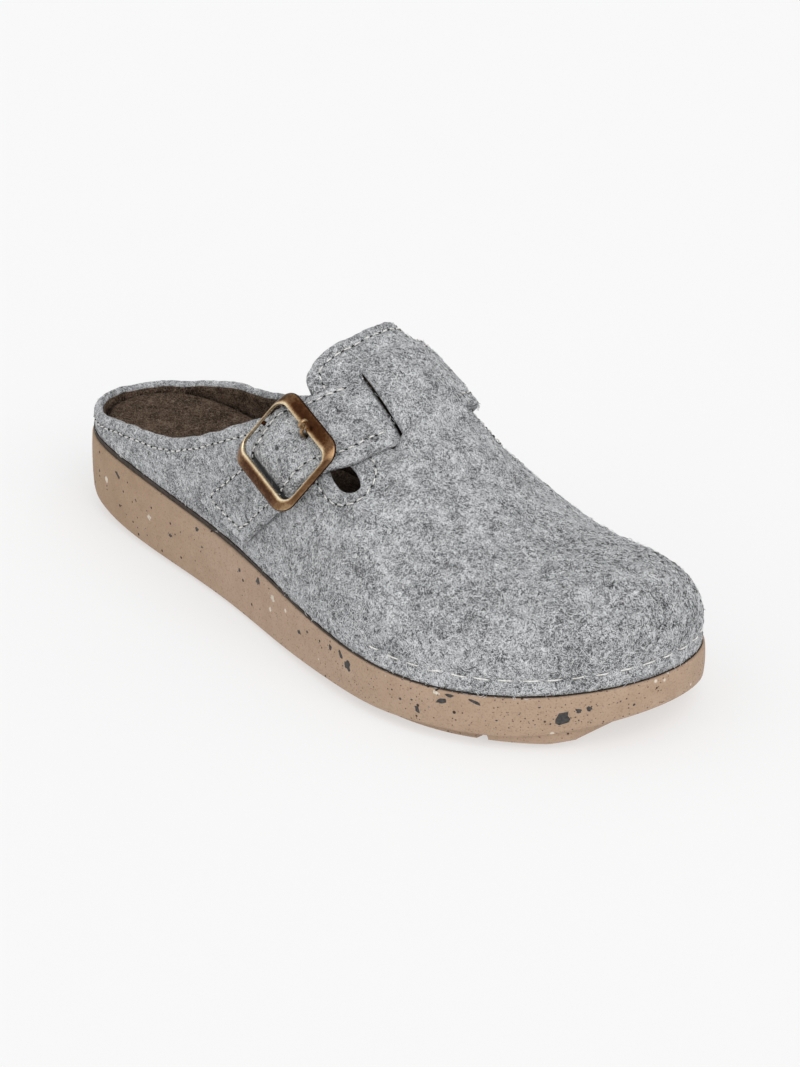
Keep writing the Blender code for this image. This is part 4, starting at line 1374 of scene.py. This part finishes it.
# %% Buckle axes
StrapRow = namedtuple("StrapRow", "rise rear front")
STRAP_ROWS = (
    StrapRow(0.050, 0.334, 0.443),
    StrapRow(0.155, 0.381, 0.481),
    StrapRow(0.250, 0.417, 0.510),
    StrapRow(0.360, 0.4435, 0.5345),
    StrapRow(0.480, 0.4645, 0.5645),
    StrapRow(0.600, 0.482, 0.600),
    StrapRow(0.700, 0.497, 0.613),
    StrapRow(0.790, 0.503, 0.625),
    StrapRow(1.000, 0.508, 0.631),
)
strap_rear = curve_of(STRAP_ROWS, "rise", "rear", 1)
strap_front = curve_of(STRAP_ROWS, "rise", "front", 1)
BUCKLE_STATION = 0.4995
BUCKLE_GIRTH = -0.589
BUCKLE_TURN = math.radians(16)
BUCKLE_LEAN = math.radians(7.4)
BUCKLE_ROLL = math.radians(3)
FRAME_HALF_LENGTH = 14.8 * MM
FRAME_HALF_WIDTH = 15.8 * MM
FRAME_LOW = 5.5 * MM
FRAME_HEIGHT = 1.9 * MM
REAR_BAR = 4.5 * MM
FRONT_BAR = 5.1 * MM
SIDE_BAR = 1.4 * MM
BuckleAxes = namedtuple("BuckleAxes", "centre along across out")


def find_buckle_axes():
    """Axes along the strap's middle line, across it and out, then turned and leaned a little."""
    rise = 1 + BUCKLE_GIRTH
    step = 0.02
    middle = (strap_rear(rise) + strap_front(rise)) / 2
    later = (strap_rear(rise + step) + strap_front(rise + step)) / 2
    out = Vector(upper_normal(BUCKLE_STATION, BUCKLE_GIRTH))
    run = Vector(felt_point(later, BUCKLE_GIRTH + step) - felt_point(middle, BUCKLE_GIRTH))
    along = Matrix.Rotation(BUCKLE_TURN, 3, out) @ (run - out * run.dot(out)).normalized()
    across = out.cross(along)
    lean = Matrix.Rotation(BUCKLE_ROLL, 3, along) @ Matrix.Rotation(BUCKLE_LEAN, 3, across)
    return BuckleAxes(felt_point(BUCKLE_STATION, BUCKLE_GIRTH), np.array(lean @ along),
                      np.array(lean @ across), np.array(lean @ out))


buckle_axes = find_buckle_axes()


def buckle_point(a, b, height):
    """World place of a point in the buckle's own axes."""
    a, b, height = np.broadcast_arrays(np.asarray(a, float), b, height)
    return (buckle_axes.centre + a[..., None] * buckle_axes.along + b[..., None] * buckle_axes.across
            + height[..., None] * buckle_axes.out)


print("buckle centre in mm:", np.round(buckle_axes.centre / MM, 1))

# %% [markdown]
# ## The strap
# A felt band is sewn down low on the lateral side, runs through the buckle, dives into the slit,
# passes under the bridge and comes out again on the medial side. It is a ribbon on the felt's
# own surface, raised by a small gap. In the buckle's window it is lifted to a level, slightly
# rounded pillow, and it spreads there until it fills the window. Its place and its height are
# functions of the girth, because the stitches that lie on it need them as well.

# %% Strap surface
STRAP_GAP = 0.45 * MM
BRIDGE_GAP = 1.5 * MM
DIVE_INNER = 0.165
STRAP_CROWN = 0.5 * MM
STRAP_LEVEL = 6.0 * MM
STRAP_DISH = 0.9 * MM
HUMP_REACH = 9.0 * MM
WindowFill = namedtuple("WindowFill", "rise width")
REAR_FILL = WindowFill(0.475, 4.4 * MM)
FRONT_FILL = WindowFill(0.33, 2.0 * MM)
FILL_SPREAD = 0.08


def strap_height(station, girth):
    """Height of the strap's underside over the lifted felt: outside it, in a slit or under it."""
    spot = felt_point(station, girth) - buckle_axes.centre
    along = spot @ buckle_axes.along / HUMP_REACH
    across = spot @ buckle_axes.across / FRAME_HALF_WIDTH
    level = STRAP_LEVEL - STRAP_DISH * (along ** 2 + across ** 2)
    short = np.clip(level - STRAP_THICKNESS - STRAP_GAP - spot @ buckle_axes.out, 0, None)
    hump = np.where(girth < 0, short * np.exp(-along ** 6), 0)
    outside = STRAP_GAP + hump
    mouth = mouth_lift(station)
    inside = mouth - FELT_WALL - BRIDGE_GAP - STRAP_THICKNESS
    share = smooth_step(np.abs(girth), DIVE_INNER, SLIT_OUTER)
    return inside + (outside - inside) * share - np.where(on_bridge(girth), mouth, 0)


def window_fill(girth, fill):
    """How much wider one edge of the strap is in the buckle's window, in stations."""
    return fill.width / LENGTH * np.exp(-((1 + girth - fill.rise) / FILL_SPREAD) ** 2)


def strap_station(girth, share):
    """Station of a place on the strap: share is 0 at its rear edge and 1 at its front edge."""
    rise = 1 - np.abs(girth)
    rear = strap_rear(rise) - window_fill(girth, REAR_FILL)
    front = strap_front(rise) + window_fill(girth, FRONT_FILL)
    crossed = np.clip((girth + SLIT_INNER) / (2 * SLIT_INNER), 0, 1)
    return rear * (1 - share) + front * share - STRAP_MEDIAL_SHIFT * crossed


window_width = strap_station(BUCKLE_GIRTH, 1.0) - strap_station(BUCKLE_GIRTH, 0.0)
print("strap in the window in mm:", round(float(window_width) * LENGTH / MM, 1), "along the shoe")

# %% [markdown]
# ## Stitches along the strap
# Each sewn end of the strap has a row of stitches along its front edge, round the end and back
# along its rear edge. Laid out flat that is a line with two sharp corners. Drawing its points
# towards their neighbours a few times rounds the corners off, and the line is then put on the
# strap's surface.

# %% Stitch rows of the strap
STRAP_WIDTH = 25 * MM
STRAP_FRONT_ROW = 0.84
STRAP_REAR_ROW = 0.09
STRAP_END_ROW = 3.5 * MM
CORNER_PASSES = 20


def strap_crown(share):
    """How much lower the strap's top is away from its middle line."""
    return STRAP_CROWN * (2 * share - 1) ** 4


def strap_row(side):
    """Stitches along the front edge, round the sewn end and back along the rear edge."""
    start = side * (SLIT_OUTER + 0.01)
    end = side * (1 - STRAP_ROWS[0].rise - STRAP_END_ROW / GIRTH_REACH)
    corners = np.array([(STRAP_FRONT_ROW, start), (STRAP_FRONT_ROW, end), (STRAP_REAR_ROW, end),
                        (STRAP_REAR_ROW, start)])
    flat = np.column_stack([corners * (STRAP_WIDTH, GIRTH_REACH), np.zeros(4)])
    flat = resampled(flat, 0.5 * MM)
    for _ in range(CORNER_PASSES):
        flat[1:-1] = (flat[:-2] + 2 * flat[1:-1] + flat[2:]) / 4
    share, girth = flat[:, 0] / STRAP_WIDTH, flat[:, 1] / GIRTH_REACH
    station = strap_station(girth, share)
    height = strap_height(station, girth) + STRAP_THICKNESS - strap_crown(share)
    return np.concatenate([felt_point(station, girth, height), upper_normal(station, girth)], -1)


strap_rows = [strap_row(-1), strap_row(1)]
print("stitch rows of", len(strap_rows[0]), "and", len(strap_rows[1]), "points on the strap")

# %% [markdown]
# ## The strap's mesh
# Rows of points run along the strap from one sewn end to the other, closer together where it
# dives through a slit, and columns run across it, closer together at its edges. The edges are
# rolled off, the top gets a nap and a furrow under each row of stitches, and the sheet is closed
# as before.

# %% Strap
STRAP_EDGE_ROUND = 1.2 * MM
STRAP_NAP = 0.8
OUTSIDE_ROWS = 90
DIVE_ROWS = 14
BRIDGE_ROWS = 12
STRAP_COLUMNS = 30

outside = np.linspace(1 - STRAP_ROWS[0].rise, SLIT_OUTER, OUTSIDE_ROWS)
through = np.linspace(SLIT_OUTER, DIVE_INNER, DIVE_ROWS)
under = np.linspace(DIVE_INNER, 0, BRIDGE_ROWS)
half = np.concatenate([outside, through[1:], under[1:]])
girths = np.concatenate([-half, half[-2::-1]])[:, None]
shares = station_at(np.linspace(0, math.pi, STRAP_COLUMNS))[None, :]
stations = strap_station(girths, shares)
girths = np.broadcast_to(girths, stations.shape)
ends = (1 - STRAP_ROWS[0].rise - np.abs(girths)) * GIRTH_REACH
edge_gap = np.minimum(np.minimum(shares, 1 - shares) * STRAP_WIDTH, ends)
drop = roll_off(edge_gap, STRAP_EDGE_ROUND)
low = strap_height(stations, girths)
high = low + STRAP_THICKNESS - strap_crown(shares) - drop
strap_normals = upper_normal(stations, girths).reshape(-1, 3)
strap_low = felt_point(stations, girths, low).reshape(-1, 3)
strap_top = felt_point(stations, girths, high).reshape(-1, 3)
strap_relief = STRAP_NAP * nap_height(strap_top)
for row in strap_rows:
    strap_relief -= FURROW_DEPTH * near_line(strap_top, row, FURROW_WIDTH)
strap_top += strap_normals * strap_relief[:, None]
points, faces = close_sheet(strap_top, strap_low, grid_quads(*stations.shape))
strap = add_piece("felt_strap", points, faces, grey_felt, "strap", ["strap"])

# %% [markdown]
# ## Painted shade beside the buckle
# Beside the buckle's rear bar and its outer side bar the strap gets a painted shade, darker than
# the light alone makes it. How much is worked out for each point and stored as an attribute, which
# the felt material reads.

# %% Painted shade on the strap
SHADE_REACH = 1.3 * MM
SHADE_UNDER = 2.6 * MM
SIDE_SHADE = 2.6 * MM
SIDE_SHADE_MIDDLE = -3.5 * MM
SIDE_SHADE_HALF = 6.0 * MM


def shade_beside_bars(points):
    """1 beside the rear bar and the outer side bar, where the strap gets a painted shade."""
    spot = points - buckle_axes.centre
    along, across = spot @ buckle_axes.along, spot @ buckle_axes.across
    behind = along - (REAR_BAR - FRAME_HALF_LENGTH)
    beside = across - (SIDE_BAR - FRAME_HALF_WIDTH)
    rear = smooth_step(behind, SHADE_REACH, 0.3 * SHADE_REACH)
    rear = rear * smooth_step(behind, -SHADE_UNDER, -SHADE_REACH)
    side = smooth_step(beside, SIDE_SHADE, 0.5 * SIDE_SHADE) * (beside > -SIDE_BAR)
    side = side * smooth_step(np.abs(along - SIDE_SHADE_MIDDLE), SIDE_SHADE_HALF, 0.7 * SIDE_SHADE_HALF)
    return np.maximum(rear, side) * (np.abs(across) < FRAME_HALF_WIDTH)


# The painted shade beside the bars is stored on the strap's points.
painted_shade = strap.data.attributes.new("painted_shade", "FLOAT", "POINT")
painted_shade.data.foreach_set("value", shade_beside_bars(points).astype(np.float32))
print("soiled points of the strap:", int((shade_beside_bars(points) > 0).sum()), "of", len(points))

# %% [markdown]
# ## Holes in the strap
# The prong's hole and one spare hole are drilled with a Boolean modifier, which is applied at once
# and keeps the attribute. For two clean round holes through a dense sheet this is simpler than
# leaving out cells of the grid, which would give them a ragged edge.

# %% Strap holes
PRONG_ACROSS = -1.0 * MM
PRONG_TIP = -1.9 * MM
PRONG_HOLE_RADIUS = 1.4 * MM
SPARE_HOLE = (-1.35 * MM, 3.5 * MM)
SPARE_HOLE_RADIUS = 0.9 * MM
DRILL_DEPTH = 4 * STRAP_THICKNESS


def drill_hole(piece, centre, direction, radius):
    """Cut a round hole through a piece and apply the cut."""
    bpy.ops.mesh.primitive_cylinder_add(vertices=24, radius=radius, depth=DRILL_DEPTH, location=centre)
    drill = bpy.context.active_object
    drill.rotation_mode = "QUATERNION"
    drill.rotation_quaternion = Vector(direction).to_track_quat("Z", "Y")
    cut = piece.modifiers.new("hole", "BOOLEAN")
    cut.operation = "DIFFERENCE"
    cut.solver = "EXACT"
    cut.object = drill
    bpy.context.view_layer.update()
    graph = bpy.context.evaluated_depsgraph_get()
    whole = piece.data
    piece.data = bpy.data.meshes.new_from_object(piece.evaluated_get(graph))
    piece.modifiers.clear()
    bpy.data.meshes.remove(whole)
    bpy.data.objects.remove(drill, do_unlink=True)


tip_along = FRAME_HALF_LENGTH - FRONT_BAR + PRONG_TIP
prong_hole = buckle_point(tip_along, PRONG_ACROSS, FRAME_LOW)
drill_hole(strap, prong_hole, buckle_axes.out, PRONG_HOLE_RADIUS)
drill_hole(strap, buckle_point(*SPARE_HOLE, FRAME_LOW), buckle_axes.out, SPARE_HOLE_RADIUS)
print("strap with its holes:", len(strap.data.polygons), "faces")

# %% [markdown]
# ## The buckle
# The frame is cast: broad flat bars that rise to a rim around the window. Its section is a short
# table, swept round a rounded rectangle, with corner cutting to soften the profile. A share of 0
# is the frame's outer edge, a share of 1 the window's edge, and a level of 1 the full height.

# %% Buckle frame
FRAME_CORNER = 5.8 * MM
WINDOW_CORNER = 4.0 * MM
SIDE_SKIRT = 0.6 * MM
SKIRT_POWER = 6
BarRow = namedtuple("BarRow", "share level")
BAR_ROWS = (
    BarRow(0.00, 0.00),
    BarRow(0.00, 0.18),
    BarRow(0.06, 0.32),
    BarRow(0.50, 0.76),
    BarRow(0.80, 1.00),
    BarRow(0.93, 0.96),
    BarRow(1.00, 0.80),
    BarRow(1.00, 0.00),
)


def rounded_loop(rear, front, half_width, radius, arc_steps=14, bar_steps=8):
    """Rounded rectangle in the buckle's plane, with points along its straight bars too."""
    corners = [(front, half_width, 0), (rear, half_width, 90),
               (rear, -half_width, 180), (front, -half_width, 270)]
    arcs = []
    for a, b, first_angle in corners:
        centre = np.array([a - math.copysign(radius, a), b - math.copysign(radius, b)])
        turns = np.radians(first_angle + np.linspace(0, 90, arc_steps + 1))
        arcs.append(centre + radius * np.stack([np.cos(turns), np.sin(turns)], -1))
    loop = []
    for arc, after in zip(arcs, arcs[1:] + arcs[:1]):
        loop += list(arc)
        for share in np.arange(1, bar_steps) / bar_steps:
            loop.append(arc[-1] * (1 - share) + after[0] * share)
    return np.array(loop)


def cut_corners(loop, times):
    """Soften a closed outline by cutting each corner a quarter of the way."""
    for _ in range(times):
        after = np.roll(loop, -1, axis=0)
        near, far = 0.75 * loop + 0.25 * after, 0.25 * loop + 0.75 * after
        loop = np.stack([near, far], 1).reshape(-1, loop.shape[1])
    return loop


section = cut_corners(np.array(BAR_ROWS), 2)
outer = rounded_loop(-FRAME_HALF_LENGTH, FRAME_HALF_LENGTH, FRAME_HALF_WIDTH, FRAME_CORNER)
window = rounded_loop(REAR_BAR - FRAME_HALF_LENGTH, FRAME_HALF_LENGTH - FRONT_BAR,
                      FRAME_HALF_WIDTH - SIDE_BAR, WINDOW_CORNER)
share, level = section.T
plan = outer[:, None] * (1 - share)[None, :, None] + window[:, None] * share[None, :, None]
skirt = SIDE_SKIRT * (np.abs(outer[:, 1]) / FRAME_HALF_WIDTH) ** SKIRT_POWER
bar_height = FRAME_LOW + FRAME_HEIGHT * level[None, :] - skirt[:, None] * (1 - share)[None, :]
frame_points = buckle_point(plan[..., 0], plan[..., 1], bar_height)
faces = grid_quads(*plan.shape[:2], wrap_rows=True, wrap_columns=True)
frame_body = welded(frame_points.reshape(-1, 3), faces)
print("buckle frame of", len(frame_body[0]), "points")

# %% [markdown]
# ## Antique brass
# Antique brass is dark brown where its patina sits and pale gold where wear has taken it off. One
# value, how pale a place is, runs through a ramp of colours, with a fine noise added so that the
# border is not too clean. That value holds real wear and also painted highlight and shade.

# %% Antique brass
# The pale end of the ramp stands for wear and also for painted highlight.
GOLD_STOPS = (
    (0.08, (0.034, 0.012, 0.005)),
    (0.25, (0.072, 0.029, 0.012)),
    (0.45, (0.19, 0.105, 0.053)),
    (0.70, (0.43, 0.29, 0.160)),
    (1.00, (0.88, 0.73, 0.50)),
)


def brass_finish(name, wear_and_highlight_all_over=None):
    """Antique brass, paled by wear and painted highlight as a mesh attribute tells, or evenly all over.
    """
    material, tree, shader, place = new_finish(name, 0.25, 1.0)
    wear_and_highlight = wear_and_highlight_all_over
    if wear_and_highlight is None:
        wear_and_highlight = add_node(tree, "ShaderNodeAttribute", attribute_name="wear_and_highlight").outputs["Fac"]
    patina = noise_value(tree, place, 1.1, 3.0)
    paleness_with_patina = arithmetic(tree, "ADD", remap(tree, patina, 0.35, 0.65, -0.06, 0.06), wear_and_highlight)
    tree.links.new(ramp(tree, paleness_with_patina, GOLD_STOPS), shader.inputs["Base Color"])
    tree.links.new(remap(tree, patina, 0.3, 0.7, 0.20, 0.32), shader.inputs["Roughness"])
    add_bump(tree, shader, patina, 0.015)
    return material


brass = brass_finish("antique_brass")
buckle = add_piece("brass_buckle", *frame_body, brass, "buckle", ["buckle_frame"], 60)

# %% [markdown]
# ## Where the brass is pale
# Across each bar the paleness runs from a pale outer edge through a darker middle to the window's
# rim, whose crest is palest: partly wear where the strap rubs the rim, partly painted highlight and
# shade across the bar. The corners, the rear bar and the outer side bar are made paler too, partly
# as wear and partly as a painted glint. Welding has given the frame's points new numbers, so each
# of them looks up the nearest point of the sweep, which knows its share of the section, and stores
# how pale it is as an attribute that the material reads. The low skirt stays dark.

# %% Pale brass: wear and painted highlight
RimRow = namedtuple("RimRow", "share rub")
RIM_ROWS = (
    RimRow(0.00, 0.34),
    RimRow(0.20, 0.22),
    RimRow(0.50, 0.17),
    RimRow(0.70, 0.30),
    RimRow(0.86, 0.78),
    RimRow(1.00, 0.82),
)
# Paler corners, rear bar and outer side bar: partly wear, partly a painted glint.
CORNER_WEAR_AND_GLINT = 0.22
REAR_WEAR_AND_GLINT = 0.06
OUTER_WEAR_AND_GLINT = 0.16
DARK_LEVEL = 0.3

rim_wear_and_highlight = curve_of(RIM_ROWS, "share", "rub", 1)
rub = buckle.data.attributes.new("wear_and_highlight", "FLOAT", "POINT")
flat = np.array([vertex.co for vertex in buckle.data.vertices]) - buckle_axes.centre
flat = np.stack([flat @ buckle_axes.along, flat @ buckle_axes.across, flat @ buckle_axes.out], -1)
bar_tree = point_tree(np.column_stack([plan.reshape(-1, 2), bar_height.ravel()]))
for number, spot in enumerate(flat):
    source = bar_tree.find(spot)[1] % len(share)
    lengthways, sideways = spot[0] / FRAME_HALF_LENGTH, spot[1] / FRAME_HALF_WIDTH
    corner = min(abs(lengthways), abs(sideways))
    wear_and_glint = CORNER_WEAR_AND_GLINT * float(smooth_step(corner, 0.5, 0.8)) + REAR_WEAR_AND_GLINT * float(lengthways < 0)
    wear_and_glint += OUTER_WEAR_AND_GLINT * float(smooth_step(-sideways, 0.80, 0.95))
    wear_and_highlight = (rim_wear_and_highlight(share[source]) + wear_and_glint) * (level[source] > DARK_LEVEL)
    rub.data[number].value = float(wear_and_highlight)
print("rub stored for", len(flat), "points of the buckle")

# %% [markdown]
# ## The middle bar and the prong
# A low rod crosses the frame under the strap, bent up at each end to meet its side, and a wire
# prong is bent around the front bar with its tip in the strap's hole. The rod is a single thread
# along a path. The prong is a curve with a round bevel, which Blender sweeps for us.

# %% Middle bar and prong
ROD_RADIUS = 0.75 * MM
RodRow = namedtuple("RodRow", "across height")
ROD_ROWS = (
    RodRow(15.0, 6.2),
    RodRow(14.9, 5.6),
    RodRow(14.4, 3.6),
    RodRow(13.2, 2.1),
    RodRow(11.0, 1.8),
    RodRow(4.0, 1.8),
)
ROD_SIDES = 10
PRONG_RADIUS = 0.65 * MM
# The prong is evenly paler brass, partly wear and partly a painted highlight.
PRONG_WEAR_AND_HIGHLIGHT = 0.66
PRONG_EYE = 1.2 * MM
PRONG_EYE_BACK = 1.7 * MM
PRONG_EYE_TURN = (-20, 235)
TipRow = namedtuple("TipRow", "along height")
TIP_ROWS = (
    TipRow(-0.7, 0.5),
    TipRow(-1.6, -0.9),
    TipRow(-1.9, -2.0),
    TipRow(-1.9, -5.6),
)

rod = np.array([(row.across * MM, row.height * MM) for row in ROD_ROWS])
rod = np.concatenate([rod * (-1, 1), rod[::-1]])
rod_path = buckle_point(0.0, rod[:, 0], rod[:, 1])
# The rod carries no attribute, so it takes the darkest brass, a painted shade under the strap.
add_threads("buckle_middle_bar", rod_path[None], ROD_RADIUS, ROD_SIDES, brass, "buckle")

bar_edge = FRAME_HALF_LENGTH - FRONT_BAR
rim = FRAME_LOW + FRAME_HEIGHT
eye_along = bar_edge + PRONG_EYE_BACK
eye_height = rim + GAP + PRONG_RADIUS + PRONG_EYE
turns = np.radians(np.linspace(*PRONG_EYE_TURN, 28))
route = [(eye_along + PRONG_EYE * math.cos(turn), eye_height + PRONG_EYE * math.sin(turn))
         for turn in turns]
route += [(bar_edge + row.along * MM, rim + row.height * MM) for row in TIP_ROWS]
wire = bpy.data.curves.new("brass_prong", "CURVE")
wire.dimensions = "3D"
wire.bevel_depth = PRONG_RADIUS
wire.bevel_resolution = 4
wire.use_fill_caps = True
line = wire.splines.new("POLY")
line.points.add(len(route) - 1)
for point, (a, height) in zip(line.points, route):
    point.co = (*buckle_point(a, PRONG_ACROSS, height), 1)
wire.materials.append(brass_finish("polished_brass", PRONG_WEAR_AND_HIGHLIGHT))
prong = bpy.data.objects.new("brass_prong", wire)
bpy.context.scene.collection.objects.link(prong)
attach(prong, "root")
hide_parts("buckle_prong")
print("prong of", len(route), "points")

# %% [markdown]
# ## Stitches
# A stitch is a short thread that rises out of the felt, lies on it and dives in again, with the
# painted shade of a needle hole at each end. Sewn felt is never quite even, so length, slant and
# depth differ a little from stitch to stitch, by a seeded generator.

# %% Paths of stitches
Sewing = namedtuple("Sewing", "first length pitch rise uneven")
SHORT_STITCH = Sewing(0, 2.7 * MM, 3.6 * MM, 0.22 * MM, 0.12 * MM)
LONG_STITCH = Sewing(0, 5.6 * MM, 7.5 * MM, 0.05 * MM, 0.14 * MM)
NEEDLE_HOLE = Sewing(2.55 * MM, 1.1 * MM, 3.6 * MM, 0.05 * MM, 0.12 * MM)
STITCH_DIVE = 0.5 * MM
STITCH_LENGTHS = (0.75, 1.1)
STITCH_SLANT = 0.16
STITCH_PROFILE = np.array([0.3, 0.8, 1.0, 1.0, 1.0, 1.0, 0.8, 0.3])


def stitch_paths(row, sewing, generator):
    """Paths of stitches laid one after another along a row with its normals, none quite alike."""
    reach = np.concatenate([[0], np.cumsum(np.linalg.norm(np.diff(row[:, :3], axis=0), axis=1))])
    starts = np.arange(sewing.first, reach[-1] - sewing.length, sewing.pitch)
    count = len(starts)
    steps = np.linspace(0, 1, len(STITCH_PROFILE))
    lengths = sewing.length * generator.uniform(*STITCH_LENGTHS, count)
    places = starts[:, None] + lengths[:, None] * steps[None, :]
    values = np.stack([np.interp(places, reach, column) for column in row.T], -1)
    out = unit(values[..., 3:])
    aside = unit(np.cross(out[:, 0], values[:, -1, :3] - values[:, 0, :3]))
    slant = generator.normal(0, STITCH_SLANT, count)[:, None] * (2 * steps - 1) * MM
    sunk = sewing.rise - np.abs(generator.normal(0, sewing.uneven, count))[:, None]
    height = -STITCH_DIVE + (STITCH_DIVE + sunk) * np.sin(steps * math.pi) ** 0.5
    return values[..., :3] + out * height[..., None] + aside[:, None] * slant[..., None]


short_rows = (collar_stitches, *strap_rows)
stitch_generator = np.random.default_rng(21)
short = [stitch_paths(row, SHORT_STITCH, stitch_generator) for row in short_rows]
long = stitch_paths(toe_stitches, LONG_STITCH, stitch_generator)
stitches = np.concatenate([*short, long])
holes = [stitch_paths(row, NEEDLE_HOLE, stitch_generator) for row in short_rows]
holes = np.concatenate(holes)
print(len(stitches), "stitches, of which", len(long), "are long, and", len(holes), "needle holes")

# %% [markdown]
# ## The sewing thread
# The thread is matt and off-white, a little darker in places. No needle hole is cut: a short,
# nearly black thread between two stitches is the painted shade of a hole, which from any distance
# reads as one.

# %% Stitches
STITCH_RADIUS = 0.23 * MM
STITCH_SIDES = 7
HOLE_RADIUS = 0.25 * MM
HOLE_SIDES = 6


def thread_finish(name, dark, light, size_mm=1.2):
    """Matt thread between two shades, in patches of about this size."""
    material, tree, shader, place = new_finish(name, 0.9)
    tree.links.new(ramp(tree, noise_value(tree, place, size_mm), ((0.35, dark), (0.65, light))),
                   shader.inputs["Base Color"])
    shader.inputs["Specular IOR Level"].default_value = 0.15
    return material


off_white = thread_finish("off_white_thread", (0.60, 0.59, 0.56), (0.90, 0.89, 0.86))
# Painted shade of the needle holes: nearly black threads, with no hole cut.
hole_shade = thread_finish("needle_hole_shade", (0.015, 0.015, 0.015), (0.05, 0.05, 0.05))
stitch_radii = STITCH_RADIUS * STITCH_PROFILE
add_threads("off_white_stitches", stitches, stitch_radii, STITCH_SIDES, off_white, "upper")
add_threads("needle_hole_shadows", holes, HOLE_RADIUS * STITCH_PROFILE, HOLE_SIDES, hole_shade, "upper")

# %% [markdown]
# ## Loose hairs
# What makes felt look like felt is its loose wool: pale and dark hairs of a few millimetres that
# curl over the surface, and some that stand off and blur the outline. Each starts at a random
# point of the felt, wanders along it in an arc and is laid back on the surface by the nearest
# point's normal. Where it would leave the felt at a cut edge it is drawn back to that edge.
# Blender's own hair would look as good, but it would not be part of the meshes, so the hairs are
# real threads of three sides.

# %% Paths of hairs
HAIR_STEPS = 5
HAIR_CURL = 2.2
HAIR_STRAY = 0.75 * MM
HAIR_SUNK = 0.04 * MM
HAIR_FREE_SHARE = 0.3
HAIR_LEAST_PACE = 0.12
HAIR_LONGEST_STAND = 4
NO_LENGTH = 0.001 * MM


def hair_paths(points, normals, count, length_mm, stand_mm, generator):
    """Paths of curling hairs that lie on a surface given by points and normals."""
    root = generator.integers(0, len(points), count)
    length = generator.uniform(*length_mm, count) * MM
    stand = np.minimum(generator.exponential(stand_mm, count), HAIR_LONGEST_STAND * stand_mm) * MM
    first = unit(np.cross(normals[root], generator.normal(size=(count, 3))))
    second = np.cross(normals[root], first)
    steps = np.linspace(0, 1, HAIR_STEPS)
    turn = (generator.normal(0, HAIR_CURL, count)[:, None] * steps)[..., None]
    ahead = first[:, None] * np.cos(turn) + second[:, None] * np.sin(turn)
    paths = points[root][:, None] + np.cumsum(ahead, axis=1) * (length / HAIR_STEPS)[:, None, None]
    surface = point_tree(points)
    nearest = np.array([surface.find(point)[1] for point in paths.reshape(-1, 3)]).reshape(count, -1)
    stray = paths - points[nearest]
    stray -= (stray * normals[nearest]).sum(axis=-1, keepdims=True) * normals[nearest]
    away = np.linalg.norm(stray, axis=-1, keepdims=True)
    stray *= np.minimum(1, HAIR_STRAY / np.maximum(away, NO_LENGTH))
    lying = np.sin(steps * math.pi)[None, :]
    free_end = steps[None, :] ** 2
    shape = np.where(generator.random(count)[:, None] < HAIR_FREE_SHARE, 2 * free_end, lying)
    height = stand[:, None] * shape - HAIR_SUNK
    paths = points[nearest] + stray + normals[nearest] * height[..., None]
    paces = np.linalg.norm(np.diff(paths, axis=1), axis=-1)
    return paths[paces.min(axis=1) > HAIR_LEAST_PACE * length / HAIR_STEPS]


print("hairs of", HAIR_STEPS, "points each")

# %% [markdown]
# ## Three coats of hair
# Pale and dark wool lie on the grey felt of upper and strap, and a few brown hairs on the bed. A
# strip along the cut edges and the strips of painted shade beside the buckle are left clear. Each
# coat has its own seed, so that changing one of them leaves the others as they are.

# %% Loose hairs
HAIR_CLEAR = 1.5 * MM
PAINTED_SHADE_CLEAR = 0.05
HAIR_SIDES = 3
HAIR_PROFILE = np.array([0.3, 0.9, 1.0, 0.8, 0.3])


def add_hairs(name, surfaces, radius_mm, length_mm, stand_mm, material, slot, seed):
    """Piece of hairs on surfaces, each given by its points, its normals and a number of hairs."""
    generator = np.random.default_rng(seed)
    paths = np.concatenate([hair_paths(points, normals, count, length_mm, stand_mm, generator)
                            for points, normals, count in surfaces])
    add_threads(name, paths, radius_mm * MM * HAIR_PROFILE, HAIR_SIDES, material, slot)


def grey_surfaces(on_upper, on_strap):
    """Both grey felts away from their edges, each with its number of hairs."""
    clear = sheet.gap > HAIR_CLEAR
    strap_clear = shade_beside_bars(strap_top) < PAINTED_SHADE_CLEAR
    return [(felt_top[clear], sheet.normals[clear], on_upper),
            (strap_top[strap_clear], strap_normals[strap_clear], on_strap)]


bed_normals = np.tile([0.0, 0.0, 1.0], (len(bed_top), 1))
pale_wool = thread_finish("pale_wool", (0.60, 0.61, 0.62), (0.90, 0.91, 0.92), 3.0)
dark_wool = thread_finish("dark_wool", (0.018, 0.018, 0.019), (0.08, 0.08, 0.083), 3.0)
brown_wool = thread_finish("brown_wool", (0.05, 0.035, 0.025), (0.19, 0.14, 0.10), 3.0)
brown_surfaces = [(bed_top, bed_normals, 2600)]
add_hairs("pale_hairs", grey_surfaces(8600, 1500), 0.085, (2.0, 5.0), 0.16, pale_wool, "upper", 11)
add_hairs("dark_hairs", grey_surfaces(7000, 1200), 0.08, (1.5, 4.0), 0.12, dark_wool, "upper", 12)
add_hairs("brown_hairs", brown_surfaces, 0.055, (1.5, 4.0), 0.10, brown_wool, "insole", 13)

# %% Size and finish
dressed_low, dressed_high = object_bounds()
grown = (np.array(dressed_high) - np.array(dressed_low)) - (np.array(cad_high) - np.array(cad_low))
print("growth in mm:", np.round(grown / MM, 2))
